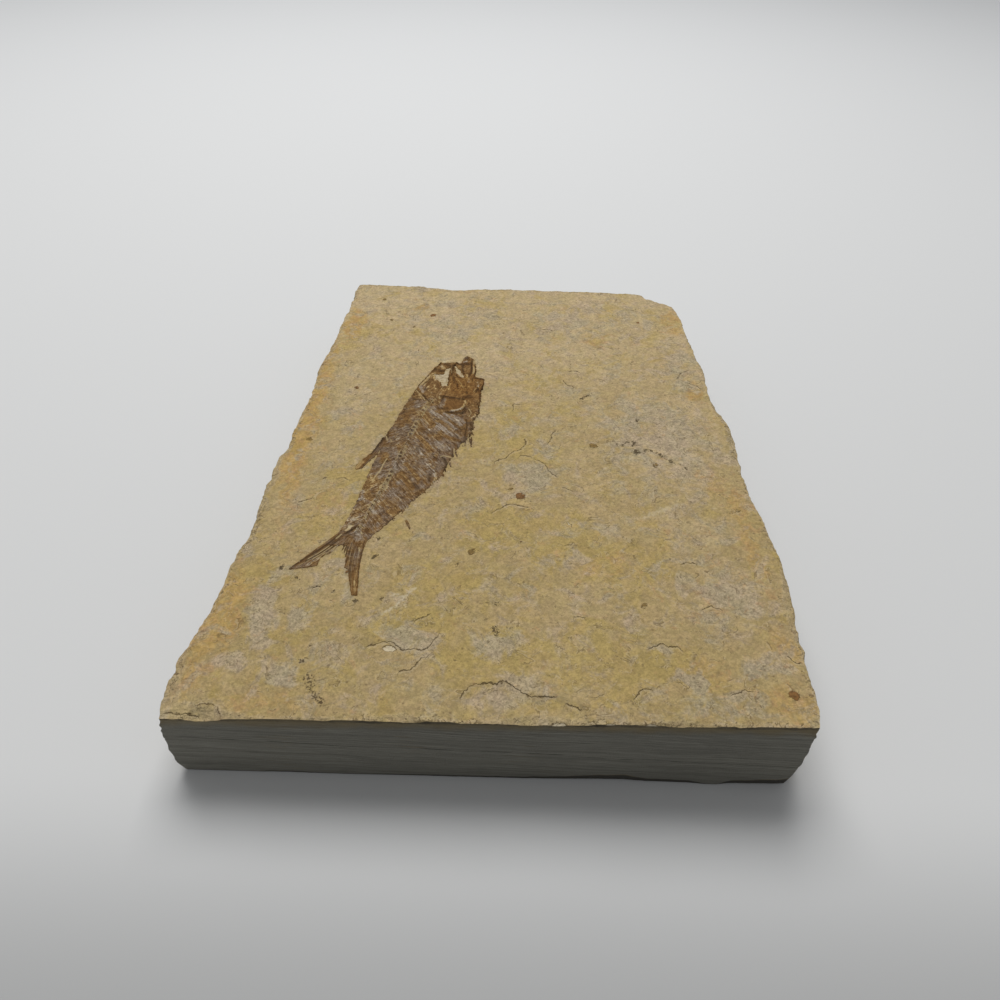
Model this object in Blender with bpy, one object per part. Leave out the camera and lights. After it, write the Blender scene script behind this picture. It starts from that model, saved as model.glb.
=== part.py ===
"""A small fossil herring in the slab of limestone that it was split out of.

The slab lies flat. +Z is up, +Y runs away from the sawn front face, and the origin is at the
middle of the underside. Sizes are in millimetres until a point becomes a vertex.
"""

import math
import random

import bmesh
import bpy
from mathutils import Vector, noise
from mathutils.geometry import delaunay_2d_cdt

MM = 0.001

# Driving dimensions of the slab
SLAB_LENGTH = 194.6
SLAB_WIDTH = 145.3
SLAB_THICKNESS = 24.6  # at the middle
WEDGE = math.radians(1.27)  # the top rises by this much towards +X
FRONT_Y = -SLAB_LENGTH / 2
FOOT_SHARE = 0.90  # the flat of the underside, as a share of the outline

# Corners of the top face, side by side
LEFT_SIDE = [
    (-58.2, 97.3), (-59.2, 76.3), (-60.7, 54.5), (-62.5, 35.1), (-62.3, 17.6), (-63.8, 0.0), (-65.7, -16.0),
    (-65.3, -43.5), (-67.6, -54.1), (-68.3, -68.6), (-70.9, -81.6), (-71.4, -93.2), (-70.9, FRONT_Y),
]
FAR_SIDE = [
    (-58.2, 97.3), (-22.0, 95.0), (17.8, 93.2), (53.0, 91.0), (56.5, 88.2), (61.0, 86.3), (63.6, 83.2),
    (65.0, 77.0),
]
RIGHT_SIDE = [
    (65.0, 77.0), (66.1, 67.4), (66.0, 57.0), (67.6, 37.0), (67.5, 20.0), (69.4, 11.0), (69.8, -10.0),
    (69.9, -26.0), (71.6, -46.0), (72.1, -56.5), (70.1, -75.0), (69.7, -87.0), (68.4, FRONT_Y),
]

# Height of the front face's lower edge over the ground, along X: it touches at the left and at one bump
LOWER_EDGE = [
    (-71.0, 0.3), (-65.0, 0.05), (-54.0, 0.3), (-47.8, 1.2), (-39.0, 0.4), (-33.6, 0.05), (-21.7, 1.0),
    (6.2, 1.5), (15.4, 2.1), (22.2, 3.5), (30.6, 4.3), (35.4, 2.6), (46.0, 2.0), (50.0, 0.05), (52.6, 0.05),
    (55.4, 2.8), (65.9, 3.9), (69.0, 4.8),
]
# Height of the lower edge elsewhere, and how far from the front it is reached
BROKEN_EDGE_HEIGHT = 2.2
BROKEN_EDGE_ROUGHNESS = 1.8
LOWER_EDGE_BLEND = 12.0

# Chips out of the top edge: place, reach along the edge, and how far each one cuts in
CHIPS = [
    ((-69.0, -96.0), 9.0, 3.4), ((-60.0, -97.3), 4.0, 1.4), ((-20.0, -97.3), 5.0, 1.3),
    ((9.0, -97.3), 6.0, 1.8), ((38.0, -97.3), 4.0, 1.2), ((60.0, 86.0), 9.0, 3.2),
    ((71.0, -62.0), 8.0, 2.2), ((-65.0, -20.0), 7.0, 1.8), ((-61.0, 50.0), 9.0, 1.6),
    ((68.0, 15.0), 6.0, 1.6), ((-20.0, 95.0), 10.0, 1.8),
]
EVEN_CHIP = 0.7  # how far the edge is worn back everywhere
EVEN_CHIP_ROUGHNESS = 0.5
CHIP_FALL = 0.45  # how far a chip drops for each millimetre that it cuts in

# The flake lost from the top near the front edge
FLAKE_EDGE = [
    (-8.0, -93.0), (-5.3, -88.7), (-3.3, -87.6), (2.7, -87.2), (7.3, -90.4), (14.0, -90.9), (20.0, -93.4),
]
FLAKE_DEPTH = 0.7
FLAKE_FACE = 1.1  # how far the broken step slopes

# The top is flat along the fish and gently uneven away from it
UNEVENNESS = 0.35
UNEVEN_SCALE = 38.0
FLAT_HALF_WIDTH = 16.0
FLAT_BLEND = 25.0

# Rings of the sides, from under the rim down: share of the height, swell, and layer of stone
SIDE_RINGS = [
    (0.05, 0.1, 0), (0.15, 0.6, 0), (0.19, 0.8, 1), (0.36, 1.1, 1), (0.40, 1.2, 2), (0.60, 1.6, 2),
    (0.65, 1.6, 3), (0.86, 1.2, 3), (1.00, 0.0, 4),
]
SIDE_SWELL = {"left": 1.0, "far": -0.4, "right": 0.4}
LAYER_STEP = 2.0  # how far one broken layer stands past the next
LAYER_SCALE = 21.0
SPLINTERY = 0.5  # finer roughness of a broken layer
SPLINTERY_SCALE = 5.0
SIDE_BLEND = 8.0  # the roughness fades out over this length towards the sawn face

# Spacing of the slab's points
RIM_STEP = 3.1
FRONT_STEP = 4.4
TOP_STEP = 8.5
TOP_JITTER = 2.5
KEEP_CLEAR = 3.6

# The pockets that the bones lie in
POCKET_DEPTH = 1.1
CLEARANCE = 0.42  # round each bone, a little over the gap that has to stay
GAP = 0.32  # under each bone
OUTLINE_TOLERANCE = 0.08

# The fish has a frame of its own: S along the backbone from the snout, T across, towards the belly
FISH_START = Vector((-15.8, 42.0))
TAIL_ROOT = Vector((-38.2, -44.0))
BACKWARDS = (TAIL_ROOT - FISH_START).normalized()
BELLYWARDS = Vector((-BACKWARDS.y, BACKWARDS.x))
TRUNK_START = 22.0
TRUNK_END = 88.0
VERTEBRA_PITCH = 1.8
HEAD_STEP = 1.1
RIB_LEAN = 0.85  # how far a rib runs back for each millimetre that it runs outwards
LEAN_SHARE = [(15.0, 0.0), (30.0, 1.0), (48.0, 1.0), (86.0, 0.0)]

# Edges of the fish from the head to the root of the tail
BACK_EDGE = [
    (3.3, -4.7), (5.4, -5.6), (11.7, -6.7), (21.7, -7.8), (28.8, -8.2), (44.7, -8.1), (54.0, -7.0),
    (65.6, -6.0), (74.7, -5.0), (83.8, -4.4), (86.9, -4.4),
]
BELLY_EDGE = [
    (-1.8, 5.5), (0.8, 6.8), (3.6, 7.9), (6.6, 8.9), (9.6, 12.4), (14.1, 13.3), (19.5, 14.5), (26.2, 16.0),
    (31.1, 15.6), (36.0, 16.8), (40.0, 17.1), (44.4, 15.3), (50.2, 15.3), (57.0, 14.8), (62.3, 13.8),
    (69.3, 11.6), (75.0, 9.4), (82.1, 7.1), (87.2, 4.7), (89.4, 4.2),
]
BACKBONE = [(1.6, 0.4), (16.5, 0.2), (29.8, -1.3), (42.1, -0.9), (59.9, 0.1), (82.0, 0.3), (91.0, -0.6)]

# Rows of points across the fish, from the back (-1) over the backbone (0) to the belly (1)
ROWS = [-1.0, -0.9, -0.72, -0.52, -0.33, -0.13, 0.0, 0.1, 0.24, 0.4, 0.57, 0.74, 0.9, 1.0]
FORK_ROW = 4
# How far each row starts from the first station, and how far past the last one it ends
SNOUT = [(-1.0, 3.3), (-0.5, 2.5), (0.0, 1.6), (0.2, 0.4), (0.42, -3.2), (0.7, -2.9), (1.0, -1.8)]
TAIL_END = [(-1.0, 0.0), (-0.33, 4.0), (1.0, 1.6)]
END_BLEND = 8.0

# The two lobes of the tail and the folded dorsal fin, each edge from root to tip
UPPER_OUTER = [(86.9, -4.4), (92.4, -6.3), (95.7, -7.9), (99.2, -9.5), (103.4, -11.6)]
UPPER_INNER = [(91.7, -1.5), (93.9, -2.6), (97.0, -4.3), (100.0, -6.3), (103.8, -11.0)]
LOWER_OUTER = [(89.4, 4.2), (92.3, 4.5), (95.8, 5.3), (99.6, 6.5), (103.3, 7.9), (106.8, 9.2)]
LOWER_INNER = [(91.7, -1.5), (93.9, -0.1), (96.4, 1.2), (99.5, 2.9), (102.3, 4.7), (107.0, 7.7)]
UPPER_STEPS = 6
LOWER_STEPS = 8
FIN_LEADING = [(44.2, -8.1), (47.0, -8.6), (55.7, -9.4), (57.2, -10.2), (62.4, -11.2)]
FIN_FREE_EDGE = [(57.4, -6.8), (59.4, -8.1), (61.6, -8.9), (63.2, -10.3)]
FIN_FREE_STEPS = 3

# Heights of the fish over the stone
SKULL_HEIGHT = 0.55
SKULL_EDGE_FALL = 0.3
LEAST_HEIGHT = 0.08
# Forms of the skull: place, half length, half width and height, below zero for a hollow
SKULL_FORMS = {
    "snout knob": ((-1.2, 3.4), 2.6, 2.4, 0.7),
    "gill cover": ((25.2, 6.4), 4.6, 5.2, 0.8),
    "gill cover's hollow": ((25.4, 6.2), 3.2, 3.8, -0.25),
    "bar in front of the gill cover": ((20.2, 7.5), 1.5, 5.2, 0.35),
    "lower jaw": ((15.5, 9.5), 6.5, 2.2, 0.4),
    "crown": ((12.0, -5.6), 9.5, 1.0, 0.4),
    "eye socket": ((11.2, -1.6), 5.6, 2.4, -0.9),
    "cheek": ((6.8, 3.4), 3.6, 1.4, -0.8),
}
# Crest and furrow of the rows, by how far out from the backbone they lie
RIDGE_HEIGHTS = [
    (0.0, (0.95, 0.62)), (0.15, (0.72, 0.42)), (0.85, (0.56, 0.28)), (0.95, (0.34, 0.34)), (1.0, (0.2, 0.2)),
]
SKULL_TO_TRUNK = [(24.0, 0.0), (29.0, 1.0)]
TAIL_THINNING = [(62.0, 1.0), (88.0, 0.7)]
LOBE_ROOT_HEIGHT = 0.42
LOBE_TIP_HEIGHT = 0.22
RAY_HEIGHT = 0.16
FIN_RIDGE_HEIGHT = 0.5
FIN_TIP_HEIGHT = 0.4
FIN_EDGE_HEIGHT = 0.22

# The loose splinter, seen from above in the slab's frame, clockwise from its head
SPLINTER = [
    (-25.1, -37.0), (-24.5, -36.9), (-23.9, -38.3), (-23.3, -40.2), (-23.6, -40.7), (-24.1, -40.0),
    (-24.8, -38.4),
]
SPLINTER_CREST = 0.35
SPLINTER_EDGE = 0.1

STONE_COLOUR = (0.42, 0.33, 0.19)
STONE_ROUGHNESS = 0.85
BONE_COLOUR = (0.10, 0.055, 0.035)
BONE_ROUGHNESS = 0.5


def clear_scene():
    for thing in list(bpy.data.objects):
        bpy.data.objects.remove(thing)


def at(table, place):
    """The value of a broken line, given as (place, value) points, at one place."""
    if place <= table[0][0]:
        return table[0][1]
    for (start, low), (end, high) in zip(table, table[1:]):
        if place <= end:
            return low + (high - low) * (place - start) / (end - start)
    return table[-1][1]


def along(line, share):
    """The point at a share of the way along a list of points, counted by its points."""
    place = min(max(share, 0.0), 1.0) * (len(line) - 1)
    index = min(int(place), len(line) - 2)
    return Vector(line[index]).lerp(Vector(line[index + 1]), place - index)


def resampled(line, step):
    """Points about one step apart along a broken line, its corners kept, without the last one."""
    points = []
    for start, end in zip(line, line[1:]):
        start, end = Vector(start), Vector(end)
        count = max(1, round((end - start).length / step))
        points += [start.lerp(end, index / count) for index in range(count)]
    return points


def rough(point, seed, scale):
    """Smooth noise between about -1 and 1, the same on each run."""
    return noise.noise(Vector((point[0] / scale, point[1] / scale, seed * 7.3)))


def inside(point, loop):
    """Whether a point lies inside a closed loop of points."""
    found = False
    for a, b in zip(loop, loop[1:] + loop[:1]):
        if (a[1] > point[1]) != (b[1] > point[1]):
            if point[0] < a[0] + (b[0] - a[0]) * (point[1] - a[1]) / (b[1] - a[1]):
                found = not found
    return found


def edge_normal(start, end):
    """The unit vector to the right of a run, which points out of a loop that turns counter-clockwise."""
    run = Vector(end) - Vector(start)
    return Vector((run.y, -run.x)).normalized()


def moved_out(loop, distance):
    """The loop with its edges moved out by a distance, and its sharpest corners blunted."""
    sharpest = 0.35
    moved = []
    for before, point, after in zip(loop[-1:] + loop[:-1], loop, loop[1:] + loop[:1]):
        first = edge_normal(before, point)
        middle = (first + edge_normal(point, after)).normalized()
        moved.append(point + middle * distance / max(middle.dot(first), sharpest))
    return moved


def thinned(loop, tolerance):
    """The loop without the points that lie within a tolerance of the line that passes them."""
    kept, skipped = [loop[0]], []
    for point, after in zip(loop[1:], loop[2:] + loop[:1]):
        skipped.append(point)
        run = (after - kept[-1]).normalized()
        if max(abs(run.cross(spot - kept[-1])) for spot in skipped) > tolerance:
            kept.append(point)
            skipped = []
    return kept


def material(name, colour, roughness):
    finish = bpy.data.materials.new(name)
    finish.use_nodes = True
    shader = finish.node_tree.nodes["Principled BSDF"]
    shader.inputs["Base Color"].default_value = (*colour, 1.0)
    shader.inputs["Roughness"].default_value = roughness
    shader.inputs["Metallic"].default_value = 0.0
    return finish


def finish_object(bm, name, finish):
    bmesh.ops.recalc_face_normals(bm, faces=bm.faces)
    mesh = bpy.data.meshes.new(name)
    bm.to_mesh(mesh)
    bm.free()
    mesh.materials.append(finish)
    bpy.context.scene.collection.objects.link(bpy.data.objects.new(name, mesh))


def vertex(bm, x, y, z):
    return bm.verts.new((x * MM, y * MM, z * MM))


def face(bm, corners):
    """A face on the given corners, which may repeat where a strip narrows to a point."""
    corners = list(dict.fromkeys(corners))
    if len(corners) > 2:
        bm.faces.new(corners)


def join_lines(bm, first, second):
    """A strip of faces between two lines of vertices."""
    for index in range(len(first) - 1):
        face(bm, [first[index], first[index + 1], second[index + 1], second[index]])


def join_rings(bm, upper, lower):
    join_lines(bm, upper + upper[:1], lower + lower[:1])


# The slab


def top_plane(x):
    return SLAB_THICKNESS + math.tan(WEDGE) * x


def top_height(x, y):
    """The split surface: flat along the fish, gently uneven elsewhere, and lower in the lost flake."""
    away = abs((Vector((x, y)) - FISH_START).cross(BACKWARDS))
    calm = at([(FLAT_HALF_WIDTH, 0.0), (FLAT_HALF_WIDTH + FLAT_BLEND, 1.0)], away)
    height = top_plane(x) + UNEVENNESS * calm * rough((x, y), 1, UNEVEN_SCALE)
    if inside((x, y), FLAKE_EDGE):
        height -= FLAKE_DEPTH
    return height


def slab_outline():
    """Points round the top edge, counter-clockwise from the front left corner, each with its side's name."""
    sides = [
        ("front", resampled([LEFT_SIDE[-1], RIGHT_SIDE[-1]], FRONT_STEP)),
        ("right", resampled(RIGHT_SIDE[::-1], RIM_STEP)),
        ("far", resampled(FAR_SIDE[::-1], RIM_STEP)),
        ("left", resampled(LEFT_SIDE, RIM_STEP)),
    ]
    return [(name, point) for name, points in sides for point in points]


def chip_at(point):
    """How far the top edge is chipped back at a point."""
    depth = EVEN_CHIP + EVEN_CHIP_ROUGHNESS * rough(point, 2, 6.0)
    for place, reach, cut in CHIPS:
        depth += cut * math.exp(-(((point - Vector(place)).length / reach) ** 2))
    return depth


def front_point(point, swell):
    """A point of the sawn face, whose two ends follow the swell of the sides next to them."""
    left, right = LEFT_SIDE[-1][0], RIGHT_SIDE[-1][0]
    share = (point.x - left) / (right - left)
    spread = SIDE_SWELL["right"] * share - SIDE_SWELL["left"] * (1.0 - share)
    return Vector((point.x + swell * spread, FRONT_Y))


def side_point(point, normal, side, swell, layer):
    """A point of a broken side, swollen and stepped in layers, within the slab's overall size."""
    step = LAYER_STEP * rough(point, 3 + layer, LAYER_SCALE)
    step += SPLINTERY * rough(point, 13 + layer, SPLINTERY_SCALE)
    step *= min((point.y - FRONT_Y) / SIDE_BLEND, 1.0)
    spot = point + normal * (swell * SIDE_SWELL[side] + step)
    across = max(-SLAB_WIDTH / 2, min(spot.x, SLAB_WIDTH / 2))
    return Vector((across, min(spot.y, SLAB_LENGTH / 2)))


def low_height(point, on_front):
    """Height of the lower edge over the ground."""
    front = at(LOWER_EDGE, point.x)
    if on_front:
        return front
    broken = BROKEN_EDGE_HEIGHT + BROKEN_EDGE_ROUGHNESS * rough(point, 19, 14.0)
    return front + (broken - front) * min((point.y - FRONT_Y) / LOWER_EDGE_BLEND, 1.0)


def add_sides(bm, outline):
    """The rim, the broken layers and the underside. Gives back the ring at the edge of the top face."""
    sides = [side for side, _ in outline]
    points = [point for _, point in outline]
    on_front = ["front" in pair for pair in zip(sides, sides[-1:] + sides[:-1])]
    normals = [edge_normal(a, b) for a, b in zip(points[-1:] + points[:-1], points[1:] + points[:1])]
    brow = []
    for point in points:
        spot = point - point.normalized() * chip_at(point)
        brow.append(vertex(bm, spot.x, spot.y, top_height(spot.x, spot.y)))
    rims = [top_height(*point) - CHIP_FALL * chip_at(point) for point in points]
    lows = [low_height(point, front) for point, front in zip(points, on_front)]
    ring = [vertex(bm, *point, rim) for point, rim in zip(points, rims)]
    join_rings(bm, brow, ring)
    for share, swell, layer in SIDE_RINGS:
        lower = []
        for index, point in enumerate(points):
            if on_front[index]:
                spot = front_point(point, swell)
            else:
                spot = side_point(point, normals[index], sides[index], swell, layer)
            lower.append(vertex(bm, *spot, rims[index] + (lows[index] - rims[index]) * share))
        join_rings(bm, ring, lower)
        ring = lower
    foot = [vertex(bm, *(point * FOOT_SHARE), 0.0) for point in points]
    join_rings(bm, ring, foot)
    bm.faces.new(foot)
    return brow


def scattered(rim, lines, pockets):
    """Points over the top face, about one step apart, clear of the rim and of the lines already on it."""
    dice = random.Random(11)
    points = []
    rows = int(SLAB_LENGTH / TOP_STEP) + 1
    columns = int(SLAB_WIDTH / TOP_STEP)
    for row in range(rows):
        for column in range(columns):
            spot = Vector((-SLAB_WIDTH / 2 + (column + 0.5 * (row % 2)) * TOP_STEP, FRONT_Y + row * TOP_STEP))
            spot += Vector((dice.uniform(-TOP_JITTER, TOP_JITTER), dice.uniform(-TOP_JITTER, TOP_JITTER)))
            near = any((spot - point).length < KEEP_CLEAR for point in rim + lines)
            if inside(spot, rim) and not near and not any(inside(spot, pocket) for pocket in pockets):
                points.append(spot)
    return points


def add_top(bm, brow, pockets):
    """The top face, with a shallow pocket sunk for each bone."""
    rim = [Vector(corner.co.xy) / MM for corner in brow]
    step = [Vector(point) for point in FLAKE_EDGE[1:-1]]
    step += [point - Vector((0.0, FLAKE_FACE)) for point in step]
    corners, flat, edges, floors = list(brow), list(rim), [], {}
    for pocket in pockets:
        first = len(flat)
        for index, point in enumerate(pocket):
            corners.append(vertex(bm, *point, top_height(*point)))
            floors[corners[-1]] = vertex(bm, *point, top_height(*point) - POCKET_DEPTH)
            edges.append((first + index, first + (index + 1) % len(pocket)))
        flat += pocket
    for point in step + scattered(rim, step + flat[len(rim) :], pockets):
        corners.append(vertex(bm, *point, top_height(*point)))
        flat.append(point)
    outer = [list(range(len(rim)))]
    _, _, triangles, sources, _, _ = delaunay_2d_cdt(flat, edges, outer, 1, 1e-6)
    for triangle in triangles:
        trio = [sources[corner][0] for corner in triangle]
        middle = sum((flat[index] for index in trio), Vector((0.0, 0.0))) / 3
        sunk = any(inside(middle, pocket) for pocket in pockets)
        face(bm, [floors[corners[index]] if sunk else corners[index] for index in trio])
    for start, end in edges:
        join_lines(bm, [corners[start], corners[end]], [floors[corners[start]], floors[corners[end]]])


def make_slab(pockets):
    bm = bmesh.new()
    brow = add_sides(bm, slab_outline())
    add_top(bm, brow, pockets)
    finish_object(bm, "limestone_slab", material("limestone", STONE_COLOUR, STONE_ROUGHNESS))


# The fish


def station_point(station, row):
    """A point on the fish, in its own frame. Past the head the stations lean back like the ribs."""
    edge = BACK_EDGE if row < 0 else BELLY_EDGE
    s = station + RIB_LEAN * at(LEAN_SHARE, station) * abs(row * at(edge, station))
    s += at(SNOUT, row) * max(0.0, 1.0 - station / END_BLEND)
    s += at(TAIL_END, row) * max(0.0, 1.0 - (TRUNK_END - station) / END_BLEND)
    middle = at(BACKBONE, s)
    return s, middle + (at(edge, s) - middle) * abs(row)


def mound(s, t, place, half_length, half_width, height):
    """A rounded swelling or hollow, nothing past its edge."""
    share = 1.0 - ((s - place[0]) / half_length) ** 2 - ((t - place[1]) / half_width) ** 2
    return height * math.sqrt(max(share, 0.0))


def skull_height(s, t, row):
    height = SKULL_HEIGHT - SKULL_EDGE_FALL * row**4
    height += sum(mound(s, t, *form) for form in SKULL_FORMS.values())
    return max(height, LEAST_HEIGHT)


def trunk_height(row, crest):
    """Backbone, ribs and spines: each second station is a crest, the ones between are furrows."""
    heights = [(place, pair[0] if crest else pair[1]) for place, pair in RIDGE_HEIGHTS]
    return at(heights, abs(row))


def bone_vertex(bm, s, t, height):
    spot = FISH_START + BACKWARDS * s + BELLYWARDS * t
    return vertex(bm, *spot, top_plane(spot.x) + height)


def add_body(bm):
    """The skin over the head and trunk, as columns of points from the back to the belly."""
    heads = int(TRUNK_START / HEAD_STEP)
    trunks = 2 * round((TRUNK_END - TRUNK_START) / VERTEBRA_PITCH)
    stations = [index * TRUNK_START / heads for index in range(heads)]
    stations += [TRUNK_START + index * (TRUNK_END - TRUNK_START) / trunks for index in range(trunks + 1)]
    columns = []
    for number, station in enumerate(stations):
        share = at(SKULL_TO_TRUNK, station)
        column = []
        for row in ROWS:
            s, t = station_point(station, row)
            trunk = trunk_height(row, number % 2 == 0) * at(TAIL_THINNING, station)
            column.append(bone_vertex(bm, s, t, skull_height(s, t, row) * (1.0 - share) + trunk * share))
        columns.append(column)
    for first, second in zip(columns, columns[1:]):
        join_lines(bm, first, second)
    return columns


def add_lobe(bm, root, outer, inner, steps):
    """One lobe of the tail, as rays that run from the root's vertices to the tip, each second one raised."""
    rays = len(root) - 1
    before = root
    for step in range(1, steps + 1):
        share = step / steps
        base = LOBE_ROOT_HEIGHT + (LOBE_TIP_HEIGHT - LOBE_ROOT_HEIGHT) * share
        line = []
        for ray in range(rays + 1):
            spot = along(outer, share).lerp(along(inner, share), ray / rays)
            line.append(bone_vertex(bm, *spot, base + (ray % 2) * RAY_HEIGHT * (1.0 - share)))
        join_lines(bm, before, line)
        before = line


def add_dorsal_fin(bm, back):
    """The folded fin: it shares the back's vertices up to the place where its end stands free."""
    places = [(corner, (corner.co.xy / MM - FISH_START).dot(BACKWARDS)) for corner in back]
    shared = [(corner, s) for corner, s in places if FIN_LEADING[0][0] <= s <= FIN_FREE_EDGE[0][0]]
    before = [shared[0][0]] * 3
    for corner, s in shared[1:]:
        outer = Vector((s, at(FIN_LEADING, s)))
        middle = outer.lerp(Vector((s, at(BACK_EDGE, s))), 0.5)
        ends = bone_vertex(bm, *middle, FIN_RIDGE_HEIGHT), bone_vertex(bm, *outer, FIN_EDGE_HEIGHT)
        join_lines(bm, before, [corner, *ends])
        before = [corner, *ends]
    for step in range(1, FIN_FREE_STEPS + 1):
        inner = along(FIN_FREE_EDGE, step / FIN_FREE_STEPS)
        outer = along(FIN_LEADING[-2:], step / FIN_FREE_STEPS)
        spots = [(inner, FIN_EDGE_HEIGHT), (inner.lerp(outer, 0.5), FIN_TIP_HEIGHT), (outer, FIN_EDGE_HEIGHT)]
        line = [bone_vertex(bm, *spot, height) for spot, height in spots]
        join_lines(bm, before, line)
        before = line


def close_below(bm):
    """Walls down from the skin's edge, and a flat underside just over the pocket's floor."""
    rim = [edge for edge in bm.edges if edge.is_boundary]
    made = bmesh.ops.extrude_edge_only(bm, edges=rim)["geom"]
    for corner in [item for item in made if isinstance(item, bmesh.types.BMVert)]:
        corner.co.z = (top_plane(corner.co.x / MM) - POCKET_DEPTH + GAP) * MM
    bmesh.ops.edgeloop_fill(bm, edges=[item for item in made if isinstance(item, bmesh.types.BMEdge)])


def edge_loop(bm):
    """The skin's edge as a counter-clockwise list of points, seen from above."""
    bmesh.ops.recalc_face_normals(bm, faces=bm.faces)
    following = {}
    for edge in [edge for edge in bm.edges if edge.is_boundary]:
        corner = edge.link_loops[0]
        following[corner.vert] = corner.link_loop_next.vert
    corners = [corner.vert]
    while following[corners[-1]] != corners[0]:
        corners.append(following[corners[-1]])
    points = [corner.co.xy / MM for corner in corners]
    area = sum(a.cross(b) for a, b in zip(points, points[1:] + points[:1]))
    return points if area > 0 else points[::-1]


def make_fish():
    """The fish. Gives back the outline of the pocket that it lies in."""
    bm = bmesh.new()
    columns = add_body(bm)
    end = columns[-1]
    add_lobe(bm, end[: FORK_ROW + 1], UPPER_OUTER, UPPER_INNER, UPPER_STEPS)
    add_lobe(bm, end[FORK_ROW:], LOWER_INNER, LOWER_OUTER, LOWER_STEPS)
    add_dorsal_fin(bm, [column[0] for column in columns])
    pocket = moved_out(thinned(edge_loop(bm), OUTLINE_TOLERANCE), CLEARANCE)
    close_below(bm)
    finish_object(bm, "fossil_fish", material("fossil bone", BONE_COLOUR, BONE_ROUGHNESS))
    return pocket


def make_splinter():
    """The loose splinter. Gives back the outline of its own pocket."""
    bm = bmesh.new()
    outline = [Vector(point) for point in SPLINTER[::-1]]
    middle = sum(outline, Vector((0.0, 0.0))) / len(outline)
    crest = vertex(bm, *middle, top_plane(middle.x) + SPLINTER_CREST)
    rim = [vertex(bm, *point, top_plane(point.x) + SPLINTER_EDGE) for point in outline]
    for first, second in zip(rim, rim[1:] + rim[:1]):
        face(bm, [first, second, crest])
    close_below(bm)
    finish_object(bm, "bone_splinter", material("splinter bone", BONE_COLOUR, BONE_ROUGHNESS))
    return moved_out(outline, CLEARANCE)


clear_scene()
fish_pocket = make_fish()
splinter_pocket = make_splinter()
make_slab([fish_pocket, splinter_pocket])
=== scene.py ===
"""The looks of a small fossil herring that lies in its slab of split limestone.

Places and sizes are in millimetres, in the slab's own frame: X to the right, Y away from the sawn
face, Z up from the middle of the underside. They turn into metres when they become vertices.
"""

import math

import bpy
import numpy as np
from mathutils import Matrix, Vector, noise


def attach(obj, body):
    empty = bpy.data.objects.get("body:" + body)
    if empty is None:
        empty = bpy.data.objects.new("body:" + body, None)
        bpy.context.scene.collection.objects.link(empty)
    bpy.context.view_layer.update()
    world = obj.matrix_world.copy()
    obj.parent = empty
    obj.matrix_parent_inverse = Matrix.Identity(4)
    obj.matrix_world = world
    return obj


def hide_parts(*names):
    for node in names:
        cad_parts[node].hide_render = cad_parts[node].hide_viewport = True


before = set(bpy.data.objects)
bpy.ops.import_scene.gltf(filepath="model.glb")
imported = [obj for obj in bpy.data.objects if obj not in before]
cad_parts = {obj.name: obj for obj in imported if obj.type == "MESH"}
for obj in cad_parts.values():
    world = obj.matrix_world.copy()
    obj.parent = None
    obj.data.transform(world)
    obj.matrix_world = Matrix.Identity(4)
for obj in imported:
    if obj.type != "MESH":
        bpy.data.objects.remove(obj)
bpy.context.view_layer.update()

MM = 0.001
NOWHERE = 1e9  # a distance from something that is not near at all

# The slab's driving dimensions, as in its solid
SLAB_LENGTH = 194.6
SLAB_WIDTH = 145.3
SLAB_THICKNESS = 24.6
SLAB_TOP = 26.36
WEDGE = math.radians(1.27)
FRONT_Y = -SLAB_LENGTH / 2
FOOT_SHARE = 0.90

# Corners of the top face
LEFT_SIDE = [
    (-70.9, FRONT_Y), (-71.5, -93.2), (-71.1, -89.5), (-70.8, -85.6), (-71.0, -81.6), (-70.1, -77.4),
    (-69.3, -73.1), (-68.3, -68.6), (-68.0, -63.9), (-67.6, -54.1), (-67.0, -48.9), (-65.2, -43.4),
    (-65.3, -37.8), (-65.2, -31.9), (-66.0, -25.7), (-65.5, -19.3), (-65.6, -12.6), (-63.7, -5.6),
    (-63.8, 1.8), (-62.6, 9.5), (-62.4, 17.6), (-62.2, 26.1), (-62.5, 35.1), (-62.0, 44.5), (-60.7, 54.5),
    (-60.2, 65.1), (-59.2, 76.3), (-58.2, 97.3),
]
RIGHT_SIDE = [
    (68.4, FRONT_Y), (69.3, -94.3), (69.5, -90.6), (70.0, -86.9), (69.7, -83.0), (70.1, -77.0),
    (70.6, -70.5), (71.6, -66.0), (72.1, -61.3), (72.4, -56.5), (72.1, -51.5), (72.0, -46.3),
    (71.2, -40.9), (71.0, -35.2), (70.1, -29.4), (69.8, -23.2), (69.6, -16.8), (69.8, -3.1), (69.8, 4.3),
    (69.2, 12.0), (67.5, 20.0), (67.5, 28.5), (67.7, 37.5), (67.0, 46.9), (66.0, 56.9), (66.1, 67.4),
    (65.0, 77.0),
]
FAR_SIDE = [
    (-58.2, 97.3), (-22.0, 95.0), (17.8, 93.2), (53.0, 91.0), (54.5, 88.9), (56.5, 88.2), (61.0, 86.3),
    (63.6, 83.2), (65.0, 77.0),
]
FRONT_SIDE = [LEFT_SIDE[0], RIGHT_SIDE[0]]

# Height of the sawn face's lower edge over the ground, along X
LOWER_EDGE = [
    (-71.0, 0.5), (-65.0, 0.4), (-54.0, 0.5), (-47.8, 1.2), (-39.0, 0.6), (-33.6, 0.4), (-21.7, 1.0),
    (6.2, 1.5), (15.4, 2.1), (22.2, 3.5), (30.6, 4.3), (35.4, 2.6), (46.0, 2.0), (50.0, 0.4), (52.6, 0.4),
    (55.4, 2.8), (65.9, 3.9), (69.0, 4.8),
]
BROKEN_EDGE_HEIGHT = 2.2
BROKEN_EDGE_ROUGHNESS = 1.8
LOWER_EDGE_BLEND = 12.0

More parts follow.
